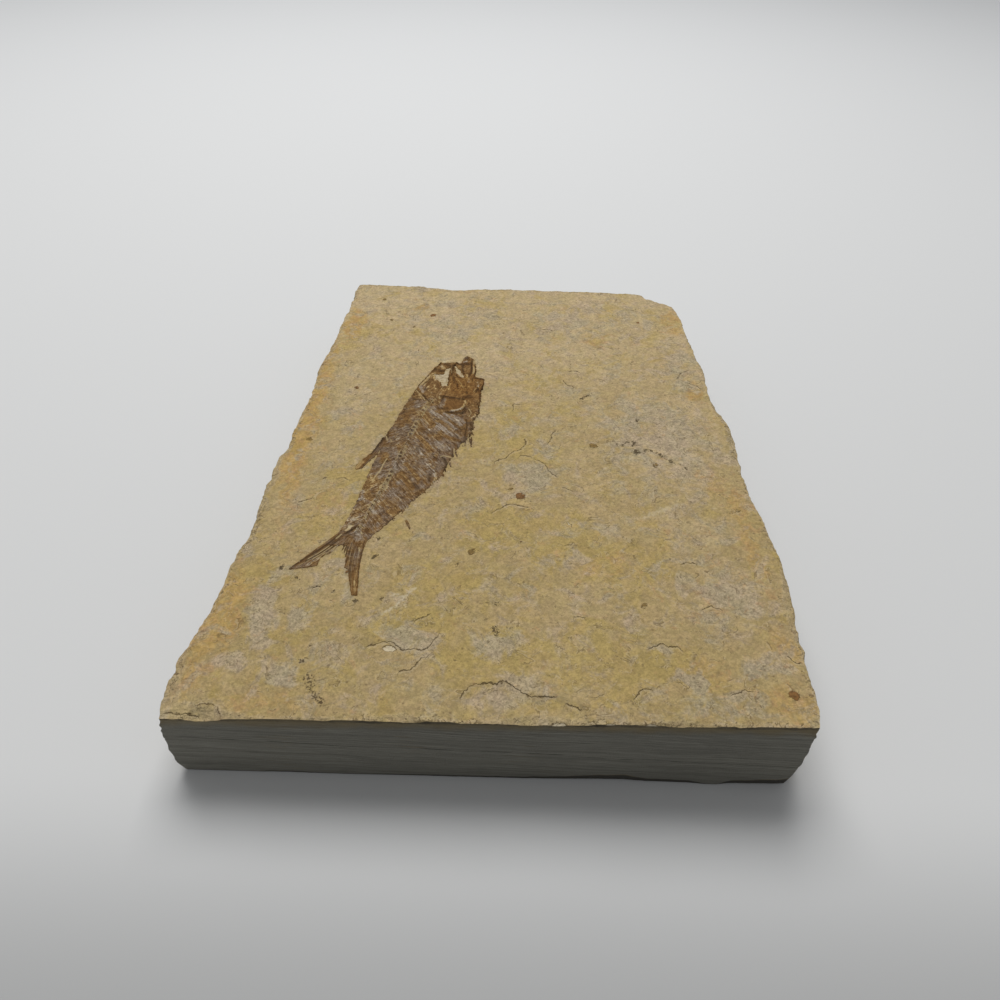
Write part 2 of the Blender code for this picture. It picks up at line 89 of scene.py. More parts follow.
# Chips out of the top edge: place, reach along the edge, and how far each one cuts in
CHIPS = [
    ((-69.0, -96.0), 9.0, 3.4), ((-60.0, -97.3), 4.0, 1.4), ((-20.0, -97.3), 5.0, 1.3),
    ((9.0, -97.3), 6.0, 1.8), ((38.0, -97.3), 4.0, 1.2), ((60.0, 86.0), 9.0, 3.2),
    ((71.0, -62.0), 8.0, 2.2), ((-65.0, -20.0), 7.0, 1.8), ((-61.0, 50.0), 9.0, 1.6),
    ((68.0, 15.0), 6.0, 1.6), ((-20.0, 95.0), 10.0, 1.8),
]
EVEN_CHIP = 0.7
EVEN_CHIP_ROUGHNESS = 0.5
LEAST_CHIP = 0.12
CHIP_FALL = 0.45

# The flakes lost from the top along the front edge: depth and outline
FLAKES = [
    (0.38, [(-8.0, -93.0), (-5.3, -88.7), (-3.3, -87.6), (2.7, -87.2), (7.3, -90.4), (14.0, -90.9),
        (20.0, -93.4), (22.0, -99.0), (-9.0, -99.0)]),
    (0.45, [(-66.6, -99.0), (-65.6, -96.2), (-63.6, -94.6), (-61.4, -93.9), (-59.4, -94.6),
        (-58.0, -96.0), (-57.2, -99.0)]),
    (0.3, [(-64.8, -99.0), (-64.4, -97.4), (-63.4, -96.1), (-61.9, -95.5), (-60.6, -96.1), (-59.8, -97.4),
        (-59.5, -99.0)]),
    (0.35, [(-38.4, -99.0), (-37.8, -96.9), (-36.0, -96.4), (-34.4, -96.9), (-33.6, -99.0)]),
    (0.35, [(-20.6, -99.0), (-19.4, -96.7), (-16.8, -96.5), (-14.8, -97.0), (-14.4, -99.0)]),
    (0.4, [(36.0, -99.0), (36.6, -96.6), (40.0, -95.9), (43.6, -96.5), (47.0, -96.3), (48.6, -99.0)]),
    (0.35, [(50.0, -99.0), (51.0, -96.8), (53.0, -96.4), (55.0, -97.0), (56.0, -99.0)]),
]

# The top is flat along the fish and gently uneven away from it
UNEVENNESS = 0.35
UNEVEN_SCALE = 38.0
FLAT_HALF_WIDTH = 16.0
FLAT_BLEND = 25.0

# The broken sides: share of the height, swell, and layer of stone
SIDE_RINGS = [
    (0.0, 0.0, 0), (0.05, 0.1, 0), (0.15, 0.6, 0), (0.19, 0.8, 1), (0.36, 1.1, 1), (0.40, 1.2, 2),
    (0.60, 1.6, 2), (0.65, 1.6, 3), (0.86, 1.2, 3), (1.0, 0.0, 4),
]
SIDE_SWELL = {"left": 1.0, "far": -0.4, "right": 0.4}
LAYER_STEP = 2.0
LAYER_SCALE = 21.0
SPLINTERY = 0.5
SPLINTERY_SCALE = 5.0
SIDE_BLEND = 8.0
UNDERCUT = 0.12  # how far the stone falls back under the sawn face, as a share of its lower edge's height
SAW_LEAN = 0.045  # slope of the saw marks

# How finely the slab is meshed
EDGE_FINENESS = 0.35  # how much closer its rows lie near the rim
LEDGE = 0.32  # height of the small ledges in a chip
TOP_COLUMNS = 225
TOP_ROWS = 285
RING_SHARES = [
    0.015, 0.05, 0.085, 0.12, 0.15, 0.17, 0.19, 0.23, 0.275, 0.32, 0.36, 0.38, 0.40, 0.45, 0.50, 0.55,
    0.60, 0.625, 0.65, 0.70, 0.75, 0.80, 0.86, 0.91, 0.96, 1.0,
]
UNDER_SHARES = [0.3, 0.65, 1.0]  # from the lower edge to the flat of the underside

# The fish's own frame: S along the backbone from the snout, T across, towards the belly
FISH_START = np.array([-15.8, 42.0])
TAIL_ROOT = np.array([-38.2, -44.0])
BACKWARDS = (TAIL_ROOT - FISH_START) / np.hypot(*(TAIL_ROOT - FISH_START))
BELLYWARDS = np.array([-BACKWARDS[1], BACKWARDS[0]])

# Outlines in the fish's frame
BACK_EDGE = [
    (3.3, -4.7), (5.4, -5.6), (8.0, -6.2), (11.7, -6.7), (15.1, -7.2), (18.6, -7.7), (21.7, -7.8),
    (25.4, -8.1), (28.8, -8.2), (34.1, -8.1), (39.7, -7.9), (44.7, -8.1), (50.5, -7.5), (54.0, -7.0),
    (59.6, -6.7), (65.6, -6.0), (71.6, -5.2), (77.7, -4.7), (83.8, -4.4), (86.9, -4.4), (89.5, -4.8),
]
BELLY_EDGE = [
    (-1.8, 5.5), (0.8, 6.8), (3.6, 7.9), (6.0, 8.6), (7.8, 8.9), (8.5, 10.3), (8.9, 12.6), (11.5, 13.0),
    (14.1, 13.3), (16.6, 13.6), (19.5, 14.5), (24.0, 15.1), (26.2, 16.0), (28.5, 16.1), (31.1, 15.5),
    (34.0, 16.4), (37.0, 16.8), (40.0, 17.0), (42.2, 16.4), (44.4, 15.2), (47.3, 15.0), (50.2, 15.1),
    (52.4, 14.6), (55.5, 14.6), (58.6, 14.4), (62.3, 13.6), (65.9, 12.4), (69.3, 11.2), (72.1, 10.0),
    (75.0, 9.1), (78.5, 7.9), (82.1, 6.8), (85.1, 5.6), (87.2, 4.7), (89.4, 4.2),
]
HEAD_FRONT = [(-2.9, 4.0), (-3.2, 2.5), (-0.9, 1.8), (1.2, 1.6), (1.7, 0.2), (2.5, -2.7)]
TAIL_FORK = [(92.0, 1.0), (92.2, -2.0)]
UPPER_OUTER = [
    (84.0, -4.3), (86.9, -4.4), (89.4, -5.0), (92.4, -6.3), (95.7, -7.9), (99.2, -9.5), (103.8, -11.5),
]
UPPER_INNER = [(101.8, -6.8), (100.4, -4.6), (97.7, -5.0), (96.0, -3.7), (93.3, -2.6), (90.0, -0.5)]
LOWER_OUTER = [
    (86.0, 4.9), (89.4, 4.2), (92.3, 4.5), (95.8, 5.3), (99.6, 6.5), (103.3, 7.9), (106.8, 9.2),
]
LOWER_INNER = [
    (107.1, 7.6), (105.0, 6.3), (102.3, 4.7), (99.6, 3.4), (99.2, 2.1), (95.4, 1.0), (90.0, -1.2),
]
FIN_OUTER = [
    (43.2, -7.6), (46.8, -8.4), (49.8, -8.6), (53.1, -8.9), (55.7, -9.2), (57.0, -10.0), (62.6, -11.2),
]
FIN_INNER = [(63.3, -10.2), (62.5, -9.0), (60.1, -8.4), (57.2, -7.5), (54.0, -6.9), (48.0, -7.0)]
BACKBONE = [
    (1.6, 0.4), (9.1, 0.6), (16.5, 0.2), (23.4, -0.6), (29.8, -1.3), (36.0, -1.2), (42.1, -0.9),
    (47.7, -0.5), (53.8, -0.2), (59.9, 0.1), (65.5, 0.3), (71.3, 0.2), (82.1, 0.3), (88.9, 0.0),
    (93.0, -0.5),
]
# Where the stone shows between the bones of the head and at the root of the tail, in the slab's frame
WINDOWS = [
    [(-23.5, 33.6), (-22.7, 32.2), (-22.2, 30.1), (-20.5, 28.2), (-19.9, 25.8), (-18.3, 25.9),
     (-18.2, 29.6), (-18.3, 33.3), (-18.0, 36.6), (-19.4, 36.2), (-19.9, 33.4), (-21.6, 32.9)],
    [(-16.3, 38.3), (-15.1, 36.9), (-14.4, 34.8), (-13.6, 33.0), (-12.4, 30.9), (-13.6, 31.2),
     (-14.7, 32.8), (-15.6, 34.3), (-16.1, 36.5)],
    [(-40.3, -39.4), (-38.8, -39.3), (-39.3, -40.4), (-40.3, -41.6)],
    [(-21.0, 42.0), (-20.9, 40.9), (-20.4, 40.2), (-19.8, 40.4), (-19.2, 41.0), (-18.6, 42.0)],
    [(-15.6, 41.4), (-15.4, 40.0), (-14.9, 39.6), (-14.3, 40.1), (-14.2, 41.4)],
]

VERTEBRA_PITCH = 1.8
FISH_GRAIN = 0.147  # spacing of the fish's points
FISH_MARGIN = 0.5  # how far its skin goes on under the stone's surface
FISH_UNDERSIDE = 0.78  # below the top plane
FISH_BOX = ((-4.5, -13.0), (109.0, 19.0))
OUTSIDE = -9.0  # depth inside the fish's outline where a spot is far outside it
SLANT_SHIFT = 1.3  # how far a mark looks pushed back by the slanting view, as a share of its height

# Strokes over the bones, by tone: strength, half width, height, line in the slab's frame
STROKES = {
    "dark": [
        (0.7, 0.28, 0.22, [(-21.3, 40.2), (-22.5, 37.5), (-23.8, 35.0), (-25.2, 32.0), (-26.5, 29.0),
            (-27.8, 25.8), (-28.3, 23.5)]),
        (0.5, 0.24, 0.15, [(-24.2, 31.6), (-25.6, 28.6), (-26.6, 26.0)]),
        (0.7, 0.45, 0.2, [(-23.8, 34.8), (-21.8, 34.9), (-20.0, 34.9)]),
        (0.6, 0.7, 0.15, [(-19.8, 39.4), (-18.6, 38.2), (-17.6, 38.6)]),
        (0.8, 0.4, 0.3, [(-15.8, 40.3), (-16.8, 38.2), (-17.3, 35.6), (-17.2, 33.0)]),
        (0.6, 0.5, 0.2, [(-17.1, 32.6), (-16.3, 30.5), (-16.0, 28.0)]),
        (0.7, 0.9, 0.5, [(-13.0, 43.5), (-12.6, 42.8)]),
        (0.8, 0.35, 0.15, [(-10.8, 43.2), (-10.4, 41.5), (-11.2, 40.0), (-13.4, 39.6), (-15.0, 39.2),
            (-15.6, 40.2)]),
        (0.9, 0.45, 0.2, [(-13.8, 38.5), (-13.6, 36.0), (-13.0, 33.6)]),
        (0.9, 0.35, 0.2, [(-11.0, 39.6), (-10.6, 36.2), (-11.0, 33.4), (-11.4, 31.4)]),
        (0.9, 0.25, 0.2, [(-9.6, 39.2), (-9.0, 36.4), (-9.4, 33.6), (-9.6, 31.4)]),
        (0.8, 0.3, 0.15, [(-15.7, 32.8), (-14.8, 31.7), (-13.9, 31.1)]),
        (0.8, 0.4, 0.12, [(-11.2, 31.6), (-10.3, 30.3)]),
        (0.9, 0.25, 0.12, [(-15.7, 30.0), (-14.9, 27.4), (-14.6, 24.8)]),
        (0.6, 0.25, 0.12, [(-12.6, 30.6), (-11.7, 28.0), (-12.0, 25.4)]),
        (1, 0.45, 0, [(-11.7, 23.0), (-11.5, 22.4)]),
        (0.8, 0.45, 0.25, [(-9.4, 30.9), (-7.6, 30.6), (-6.0, 30.3), (-5.9, 28.5), (-6.5, 26.0),
            (-7.0, 23.6)]),
        (0.7, 0.35, 0.15, [(-8.9, 23.6), (-8.0, 25.0), (-7.4, 22.5), (-7.1, 18.0)]),
        (0.6, 0.6, 0.15, [(-23.0, 30.2), (-24.4, 28.4), (-25.0, 26.2)]),
        (0.5, 0.4, 0.1, [(-22.4, 28.6), (-21.4, 27.0), (-20.8, 25.4)]),
        (0.8, 0.28, 0.15, [(-25.7, 21.0), (-24.6, 18.8), (-23.2, 17.3)]),
        (0.8, 0.35, 0, [(-22.6, 18.4), (-22.2, 16.7)]),
        (0.6, 0.35, 0.1, [(-28.7, 18.9), (-26.2, 18.5)]),
        (0.6, 0.35, 0.1, [(-29.4, 21.8), (-28.4, 20.9)]),
        (0.7, 0.85, 0.25, [(-19.6, 20.3), (-16.5, 19.5), (-13.0, 18.8)]),
        (0.8, 0.6, 0.15, [(-18.9, 20.0), (-19.2, 18.0), (-18.8, 16.5)]),
        (0.8, 1, 0.2, [(-12.6, 19.5), (-10.2, 20.3)]),
        (0.7, 0.9, 0, [(-19.8, 14.0), (-17.6, 13.8)]),
        (1, 0.75, -0.15, [(-17.4, 11.8), (-15.0, 11.4), (-12.9, 11.2), (-11.9, 12.0), (-11.7, 14.2)]),
        (0.6, 0.25, 0.15, [(-10.6, 17.0), (-10.4, 13.6), (-10.0, 11.0)]),
        (0.9, 0.28, 0.2, [(-7.9, 17.0), (-7.2, 14.4), (-7.2, 11.0), (-7.8, 9.0), (-9.0, 7.8)]),
        (0.7, 0.45, 0, [(-31.3, 15.6), (-31.0, 13.0), (-31.6, 10.6)]),
        (1, 0.8, 0.1, [(-13.7, 39.3), (-12.4, 39.8), (-11.2, 39.7)]),
        (0.9, 0.8, 0.05, [(-23.0, 35.8), (-21.6, 35.4), (-20.6, 35.0)]),
        (0.7, 1.1, 0, [(-24.6, 3.0), (-22.4, 1.2), (-20.8, 0.8)]),
        (0.6, 0.7, 0, [(-18.4, 8.6), (-16.6, 7.6)]),
        (0.7, 0.7, 0, [(-14.0, -2.0), (-12.2, -3.4), (-11.4, -3.2)]),
        (0.8, 0.45, 0.05, [(-15.8, -3.4), (-14.2, -3.8)]),
        (0.6, 0.8, 0, [(-24.6, -6.6), (-23.4, -8.6)]),
        (0.6, 0.6, 0.2, [(-16.8, -10.6), (-15.8, -13.4), (-16.0, -17.4)]),
        (0.7, 0.6, 0, [(-19.4, -10.8), (-17.6, -12.4)]),
        (0.7, 0.9, 0, [(-24.4, -22.4), (-23.2, -24.2)]),
        (0.9, 0.35, 0.15, [(-9.6, 6.6), (-9.2, 3.4), (-9.5, 0.4), (-9.3, -3.4)]),
        (0.7, 0.3, 0.15, [(-11.0, 8.0), (-10.6, 4.6), (-11.0, 0.6), (-11.2, -2.8)]),
        (0.6, 0.6, 0, [(-19.6, -15.4), (-20.0, -18.8), (-20.0, -21.0)]),
        (0.8, 0.45, 0.1, [(-34.4, 3.0), (-34.8, 0.4), (-34.4, -1.4)]),
        (0.9, 0.7, 0.2, [(-34.8, 0.6), (-36.4, -4.0), (-38.4, -9.2)]),
        (0.8, 0.45, 0.15, [(-37.8, -39.4), (-39.0, -41.0), (-40.6, -42.8)]),
        (0.6, 0.35, 0.05, [(-40.0, -44.0), (-39.2, -42.6)]),
        (0.55, 0.6, 0.1, [(-41.8, -42.6), (-43.6, -45.4), (-46.4, -48.8), (-49.4, -51.8),
            (-52.8, -55.2)]),
        (0.45, 0.6, 0, [(-42.4, -45.4), (-44.2, -47.6), (-45.6, -49.4)]),
        (0.6, 0.25, 0.1, [(-36.9, -45.8), (-37.1, -50.0), (-36.9, -55.0), (-36.0, -60.0)]),
        (0.55, 0.22, 0.1, [(-34.9, -45.0), (-35.0, -50.0), (-34.8, -55.0), (-34.3, -60.4)]),
    ],
    "ochre": [
        (0.5, 1, 0.1, [(-22.5, 36.5), (-20.8, 36.0)]),
        (0.5, 0.45, 0.1, [(-16.6, 36.0), (-16.6, 33.0), (-16.2, 31.0)]),
        (1, 0.8, 0.1, [(-12.6, 38.4), (-12.3, 36.2), (-12.5, 34.0)]),
        (1, 1.1, 0.15, [(-14.0, 30.2), (-13.6, 28.2), (-12.8, 25.8)]),
        (0.8, 1.3, 0, [(-16.5, 23.8), (-13.5, 23.2), (-10.5, 25.5)]),
        (0.6, 1.5, 0, [(-18.5, 22.5), (-15.0, 21.5), (-12.8, 21.3)]),
        (0.6, 0.7, 0.1, [(-7.4, 29.2), (-8.6, 27.6)]),
        (0.6, 0.6, 0.1, [(-8.6, 22.0), (-8.2, 18.5)]),
        (0.5, 0.8, 0, [(-22.6, 26.0), (-22.0, 23.4)]),
        (0.7, 0.9, 0.1, [(-10.0, 16.4), (-9.4, 13.6), (-9.0, 11.6)]),
        (0.9, 1.3, 0, [(-36.4, -20.4), (-37.4, -23.6)]),
        (0.7, 0.9, 0, [(-30.4, 9.6), (-29.2, 7.0)]),
        (0.6, 0.8, 0, [(-24.2, 9.4), (-22.2, 6.6), (-21.0, 5.4)]),
        (0.9, 0.7, 0.08, [(-24.8, -1.0), (-22.6, -4.0), (-20.8, -7.6)]),
        (0.7, 0.6, 0.05, [(-16.8, -0.6), (-14.6, -1.8), (-12.6, -2.6)]),
        (0.7, 0.6, 0.05, [(-27.4, -13.6), (-25.2, -17.0), (-23.2, -20.4)]),
        (0.6, 0.9, 0, [(-33.8, -9.4), (-34.4, -12.8)]),
        (0.6, 0.9, 0, [(-28.6, -18.0), (-26.8, -21.0), (-24.6, -24.2)]),
        (0.6, 0.8, 0, [(-37.0, -26.0), (-36.6, -28.4)]),
        (0.8, 0.8, 0, [(-29.8, -33.8), (-28.0, -34.8)]),
        (1, 0.9, 0.05, [(-39.0, -10.0), (-41.8, -16.4)]),
        (1, 0.9, 0, [(-36.0, -56.6), (-35.4, -60.0), (-34.9, -63.2)]),
        (1, 1.1, 0, [(-36.4, -57.6), (-35.4, -60.4), (-34.8, -63.0)]),
    ],
    # Grey-lilac bone, partly painted sheen that makes it lighter and cooler
    "lilac_and_sheen": [
        (0.25, 0.55, 0.1, [(-12.1, 42.6), (-12.6, 41.2), (-13.2, 40.7)]),
        (0.4, 0.35, 0.05, [(-11.9, 33.6), (-11.7, 32.0)]),
        (0.3, 0.6, 0.1, [(-12.0, 30.8), (-11.0, 29.8), (-11.1, 28.6)]),
        (0.5, 0.8, 0, [(-25.4, 25.4), (-25.9, 23.0)]),
        (0.3, 0.8, 0.05, [(-27.2, 17.4), (-27.2, 15.0)]),
        (0.2, 0.8, 0, [(-18.6, 17.8), (-18.2, 16.0)]),
        (0.9, 0.4, 0.12, [(-12.7, 13.8), (-14.2, 12.9), (-16.2, 12.4)]),
        (0.5, 0.55, 0.05, [(-12.6, 41.3), (-13.2, 40.7)]),
        (0.5, 0.8, 0, [(-13.1, 43.4), (-12.8, 42.4)]),
        (1, 0.55, 0, [(-27.1, 26.0), (-26.5, 24.2), (-25.8, 22.6)]),
        (1, 0.75, 0, [(-11.6, 31.8), (-11.1, 30.0), (-11.2, 28.8)]),
        (0.8, 0.45, 0, [(-15.6, 31.0), (-15.2, 29.6)]),
        (0.9, 0.45, 0, [(-8.2, 28.4), (-8.0, 26.4)]),
        (0.9, 0.9, 0, [(-18.7, 18.2), (-18.8, 16.2), (-19.2, 14.8)]),
        (0.45, 0.7, 0, [(-27.2, 17.4), (-26.6, 15.0)]),
        (0.9, 0.8, 0.05, [(-15.4, 8.8), (-13.6, 7.0)]),
        (0.7, 0.55, 0.1, [(-21.8, 11.6), (-19.2, 9.4), (-16.8, 6.6), (-13.8, 3.2)]),
        (0.9, 0.6, 0.1, [(-18.2, 11.0), (-15.6, 8.6), (-12.6, 5.4)]),
        (0.8, 0.6, 0.08, [(-15.6, 10.4), (-13.0, 8.6), (-11.6, 6.4)]),
        (0.8, 0.5, 0.08, [(-20.4, 6.4), (-18.4, 4.2), (-15.8, 1.4), (-15.0, 0.4)]),
        (0.6, 0.5, 0.08, [(-18.8, 3.6), (-16.6, 1.8)]),
        (0.5, 1.2, 0, [(-19.0, -3.6), (-17.4, -6.4), (-15.8, -6.6)]),
        (0.45, 0.8, 0, [(-22.6, -13.4), (-20.6, -15.0), (-19.2, -17.6)]),
        (0.4, 0.5, 0, [(-24.0, -14.6), (-21.0, -18.6), (-20.2, -22.0)]),
        (0.2, 1.1, 0, [(-28.4, 9.6), (-27.0, 7.4)]),
        (0.4, 1, 0, [(-29.6, 4.0), (-28.6, 2.0)]),
        (0.5, 0.9, 0, [(-31.6, -6.4), (-30.4, -9.0)]),
        (0.6, 0.6, 0, [(-24.6, -6.2), (-23.4, -9.4)]),
        (1, 0.6, 0, [(-22.2, 12.0), (-19.8, 9.8), (-17.4, 8.0)]),
        (1, 0.8, 0, [(-19.6, 4.6), (-17.6, 3.0), (-16.2, 1.4)]),
        (1, 0.9, 0, [(-18.6, -3.8), (-17.6, -5.6), (-16.2, -6.4)]),
        (0.45, 0.9, 0.05, [(-37.0, -40.4), (-37.4, -42.4), (-37.0, -44.2)]),
        (0.25, 0.6, 0, [(-36.1, -48.6), (-36.0, -52.4)]),
        (0.4, 0.7, 0, [(-48.0, -53.4), (-51.0, -54.4)]),
        (0.8, 0.9, 0, [(-37.2, -41.6), (-36.8, -44.4)]),
    ],
    "pale": [
        (0.7, 0.25, 0.05, [(-10.3, 38.4), (-9.9, 36.0), (-9.9, 34.0), (-10.3, 32.6)]),
        (0.3, 0.3, 0.05, [(-8.0, 28.2), (-7.5, 25.6)]),
        (0.5, 0.22, 0.08, [(-29.0, 23.8), (-27.4, 21.6), (-26.4, 19.6), (-25.6, 18.0)]),
        (0.8, 0.28, 0.15, [(-12.0, 17.9), (-11.8, 16.8), (-12.4, 15.2), (-12.9, 13.8)]),
        (0.8, 0.35, 0.05, [(-8.2, 11.4), (-8.2, 10.2), (-9.4, 8.9)]),
        (0.65, 0.9, 0, [(-24.0, 33.4), (-25.2, 29.8), (-26.2, 27.2)]),
        (0.5, 0.35, 0, [(-22.6, 27.2), (-22.0, 24.6)]),
        (0.6, 0.3, 0, [(-20.0, 24.8), (-19.4, 23.8)]),
        (0.4, 0.5, 0, [(-11.6, 27.4), (-10.6, 25.6)]),
        (0.5, 0.3, 0, [(-20.4, 17.6), (-19.8, 16.4)]),
        (0.6, 0.4, 0, [(-7.9, 16.4), (-7.7, 15.0)]),
        (0.7, 0.8, 0, [(-21.0, 38.0), (-20.3, 37.0)]),
        (0.9, 0.42, 0, [(-22.8, 33.6), (-23.0, 31.6), (-22.6, 29.8)]),
        (0.6, 0.4, 0, [(-24.4, 26.0), (-24.1, 23.8), (-23.6, 22.6)]),
        (0.6, 0.32, 0, [(-17.3, 29.6), (-17.4, 26.6), (-17.5, 24.2)]),
        (0.7, 0.3, 0, [(-13.3, 18.9), (-13.0, 18.5)]),
        (1, 0.5, 0.1, [(-12.7, 13.7), (-14.2, 12.9), (-15.6, 12.7)]),
        (0.7, 0.35, 0, [(-8.3, 11.2), (-8.5, 10.2)]),
        (0.6, 0.4, 0, [(-15.0, 8.8), (-13.4, 7.2)]),
        (0.5, 0.9, 0, [(-31.4, -1.6), (-30.8, -4.4)]),
        (0.5, 1, 0, [(-36.4, -20.6), (-37.2, -23.2)]),
        (0.6, 0.45, 0, [(-24.8, 14.2), (-24.3, 13.0)]),
        (0.5, 0.45, 0, [(-23.2, 12.8), (-22.0, 13.2)]),
        (0.5, 0.45, 0, [(-27.2, 12.0), (-26.0, 11.0)]),
        (0.9, 0.5, 0.02, [(-18.7, -17.6), (-18.3, -20.0), (-18.9, -22.6)]),
        (0.8, 0.3, 0, [(-28.3, -11.6), (-28.5, -13.6)]),
        (0.6, 0.3, 0, [(-35.0, -0.8), (-34.4, -2.8)]),
        (0.5, 0.3, 0, [(-37.2, -17.6), (-36.2, -20.6)]),
        (0.6, 0.25, 0, [(-24.2, -6.8), (-23.2, -9.6)]),
        (0.6, 0.35, 0, [(-22.2, 2.6), (-21.4, 3.4)]),
        (0.5, 0.3, 0, [(-21.0, -22.2), (-21.6, -23.4)]),
        (0.5, 0.3, 0, [(-34.6, -30.2), (-34.0, -31.0)]),
        (0.7, 0.3, 0, [(-35.8, -35.4), (-35.6, -36.2)]),
        (0.7, 0.3, 0, [(-21.4, -13.6), (-19.8, -15.6), (-18.8, -17.2)]),
        (0.6, 0.3, 0, [(-20.6, -13.4), (-19.2, -15.2)]),
        (0.6, 0.26, 0, [(-24.2, -7.4), (-23.2, -9.2), (-22.8, -10.6)]),
        (0.6, 0.6, 0, [(-46.2, -51.6), (-47.8, -53.4)]),
        (0.5, 0.6, 0, [(-35.1, -58.8), (-34.6, -61.6)]),
        (0.55, 0.6, 0, [(-40.0, -12.6), (-41.8, -16.2)]),
        (0.6, 0.22, 0, [(-41.6, -46.6), (-42.8, -48.6), (-43.8, -50.4)]),
        (0.5, 0.18, 0, [(-42.0, -43.8), (-43.0, -45.0)]),
        (0.5, 0.45, 0, [(-47.2, -53.0), (-48.6, -54.0)]),
        (0.5, 0.6, 0, [(-44.4, -49.4), (-46.8, -52.2)]),
        (1, 0.6, 0, [(-40.4, -13.2), (-41.8, -16.0)]),
    ],
    # Pale lines along bone rims and crests, partly painted glint
    "line": [
        (0.5, 0.2, 0, [(-13.4, 26.2), (-12.6, 25.6)]),
        (0.5, 0.25, 0, [(-23.0, 20.6), (-21.6, 19.2), (-21.2, 18.2)]),
        (0.6, 0.22, 0, [(-10.4, 13.4), (-9.6, 11.4), (-10.2, 9.6)]),
        (0.7, 0.3, 0, [(-10.2, 41.6), (-9.95, 39.6)]),
        (0.9, 0.28, 0.05, [(-9.95, 37.6), (-9.75, 35.6), (-10.0, 33.8)]),
        (0.8, 0.25, 0, [(-12.0, 33.2), (-11.8, 31.8)]),
        (0.8, 0.2, 0, [(-24.3, 32.4), (-25.6, 29.8), (-26.9, 27.2), (-27.3, 26.0)]),
        (0.7, 0.18, 0.05, [(-28.2, 23.6), (-26.9, 21.5), (-25.4, 19.4), (-24.9, 18.2)]),
        (0.5, 0.22, 0, [(-17.5, 36.4), (-17.3, 33.8)]),
        (0.6, 0.16, 0, [(-15.0, 32.3), (-13.5, 31.0), (-12.5, 30.5)]),
        (0.6, 0.2, 0, [(-14.9, 30.0), (-13.9, 27.8), (-12.9, 25.2)]),
        (0.6, 0.22, 0, [(-8.8, 24.9), (-9.4, 23.2)]),
        (0.9, 0.26, 0.1, [(-11.8, 18.0), (-11.6, 17.0)]),
        (0.8, 0.22, 0.1, [(-11.9, 15.6), (-12.3, 14.4), (-12.7, 13.7)]),
        (0.7, 0.3, 0, [(-20.4, 20.0), (-20.1, 19.2)]),
        (0.9, 0.35, 0, [(-24.9, 14.4), (-24.4, 13.6)]),
        (0.6, 0.2, 0, [(-26.9, 11.4), (-26.0, 12.4), (-25.0, 12.0)]),
        (0.6, 0.2, 0, [(-23.6, 14.6), (-22.4, 13.2), (-21.4, 14.4)]),
        (0.9, 0.24, 0.05, [(-33.4, -11.4), (-34.1, -14.0), (-34.6, -16.8), (-35.7, -19.4),
            (-36.2, -21.2)]),
        (0.6, 0.24, 0, [(-37.4, -18.4), (-36.6, -20.4)]),
        (0.7, 0.26, 0, [(-34.9, -1.0), (-34.3, -2.6)]),
        (0.6, 0.22, 0, [(-33.6, -2.0), (-33.0, -3.2)]),
        (0.9, 0.24, 0.05, [(-14.0, -10.8), (-15.4, -10.2), (-16.8, -9.9), (-17.6, -10.3)]),
        (0.7, 0.22, 0, [(-13.9, -6.4), (-13.6, -9.8)]),
        (0.6, 0.2, 0, [(-10.0, 0.6), (-10.0, -3.0)]),
        (0.9, 0.26, 0, [(-35.0, -29.8), (-34.2, -30.8)]),
        (0.7, 0.22, 0, [(-36.2, -31.2), (-35.2, -31.8), (-35.8, -32.6)]),
        (0.8, 0.26, 0, [(-36.1, -35.4), (-35.6, -36.4)]),
        (0.6, 0.2, 0, [(-37.6, -33.4), (-36.6, -34.4)]),
        (0.9, 0.15, 0, [(-43.0, -47.0), (-45.2, -49.6), (-47.2, -51.6)]),
        (0.8, 0.15, 0, [(-43.8, -46.9), (-46.2, -49.6), (-48.4, -51.6)]),
        (0.8, 0.15, 0, [(-42.0, -47.0), (-43.4, -48.8), (-44.4, -50.2)]),
        (0.6, 0.14, 0, [(-47.8, -51.8), (-50.4, -53.8)]),
        (0.7, 0.28, 0, [(-41.4, -42.8), (-42.4, -44.2)]),
        (0.5, 0.13, 0, [(-37.8, -47.0), (-37.8, -51.4), (-37.6, -55.4), (-36.6, -60.0), (-35.8, -62.6)]),
        (0.45, 0.13, 0, [(-36.9, -48.0), (-36.9, -52.0), (-36.5, -57.0), (-35.6, -61.6)]),
        (0.45, 0.13, 0, [(-35.5, -46.0), (-35.7, -51.0), (-35.3, -57.0), (-34.7, -62.4)]),
        (0.9, 0.22, 0, [(-36.3, -41.8), (-36.0, -42.4)]),
        (0.7, 0.24, 0, [(-36.0, -47.4), (-35.7, -48.6)]),
        (0.7, 0.2, 0, [(-37.0, -39.0), (-36.2, -40.2)]),
    ],
    # Dark lines along bone edges, partly dark bone, partly painted shade in the grooves
    "groove": [
        (0.45, 1, 0, [(-11.0, 20.9), (-10.5, 19.4)]),
        (0.5, 0.6, 0, [(-22.6, 36.2), (-21.0, 35.4)]),
        (0.5, 0.7, 0, [(-19.2, 39.6), (-18.4, 38.6)]),
        (0.5, 0.55, 0, [(-16.9, 39.4), (-17.2, 37.4), (-17.4, 35.6)]),
        (0.45, 0.5, 0, [(-16.4, 31.4), (-15.8, 29.4)]),
        (0.45, 0.35, 0, [(-21.8, 28.8), (-21.0, 26.4), (-20.9, 24.8)]),
        (0.45, 0.3, 0, [(-19.8, 25.4), (-18.2, 25.4)]),
        (0.5, 0.4, 0, [(-16.0, 23.8), (-15.2, 23.2)]),
        (0.6, 0.3, 0, [(-11.8, 22.9), (-11.4, 22.4)]),
        (0.5, 0.3, 0, [(-9.0, 29.6), (-7.4, 29.0)]),
        (0.5, 0.3, 0, [(-21.4, 19.8), (-20.6, 18.0)]),
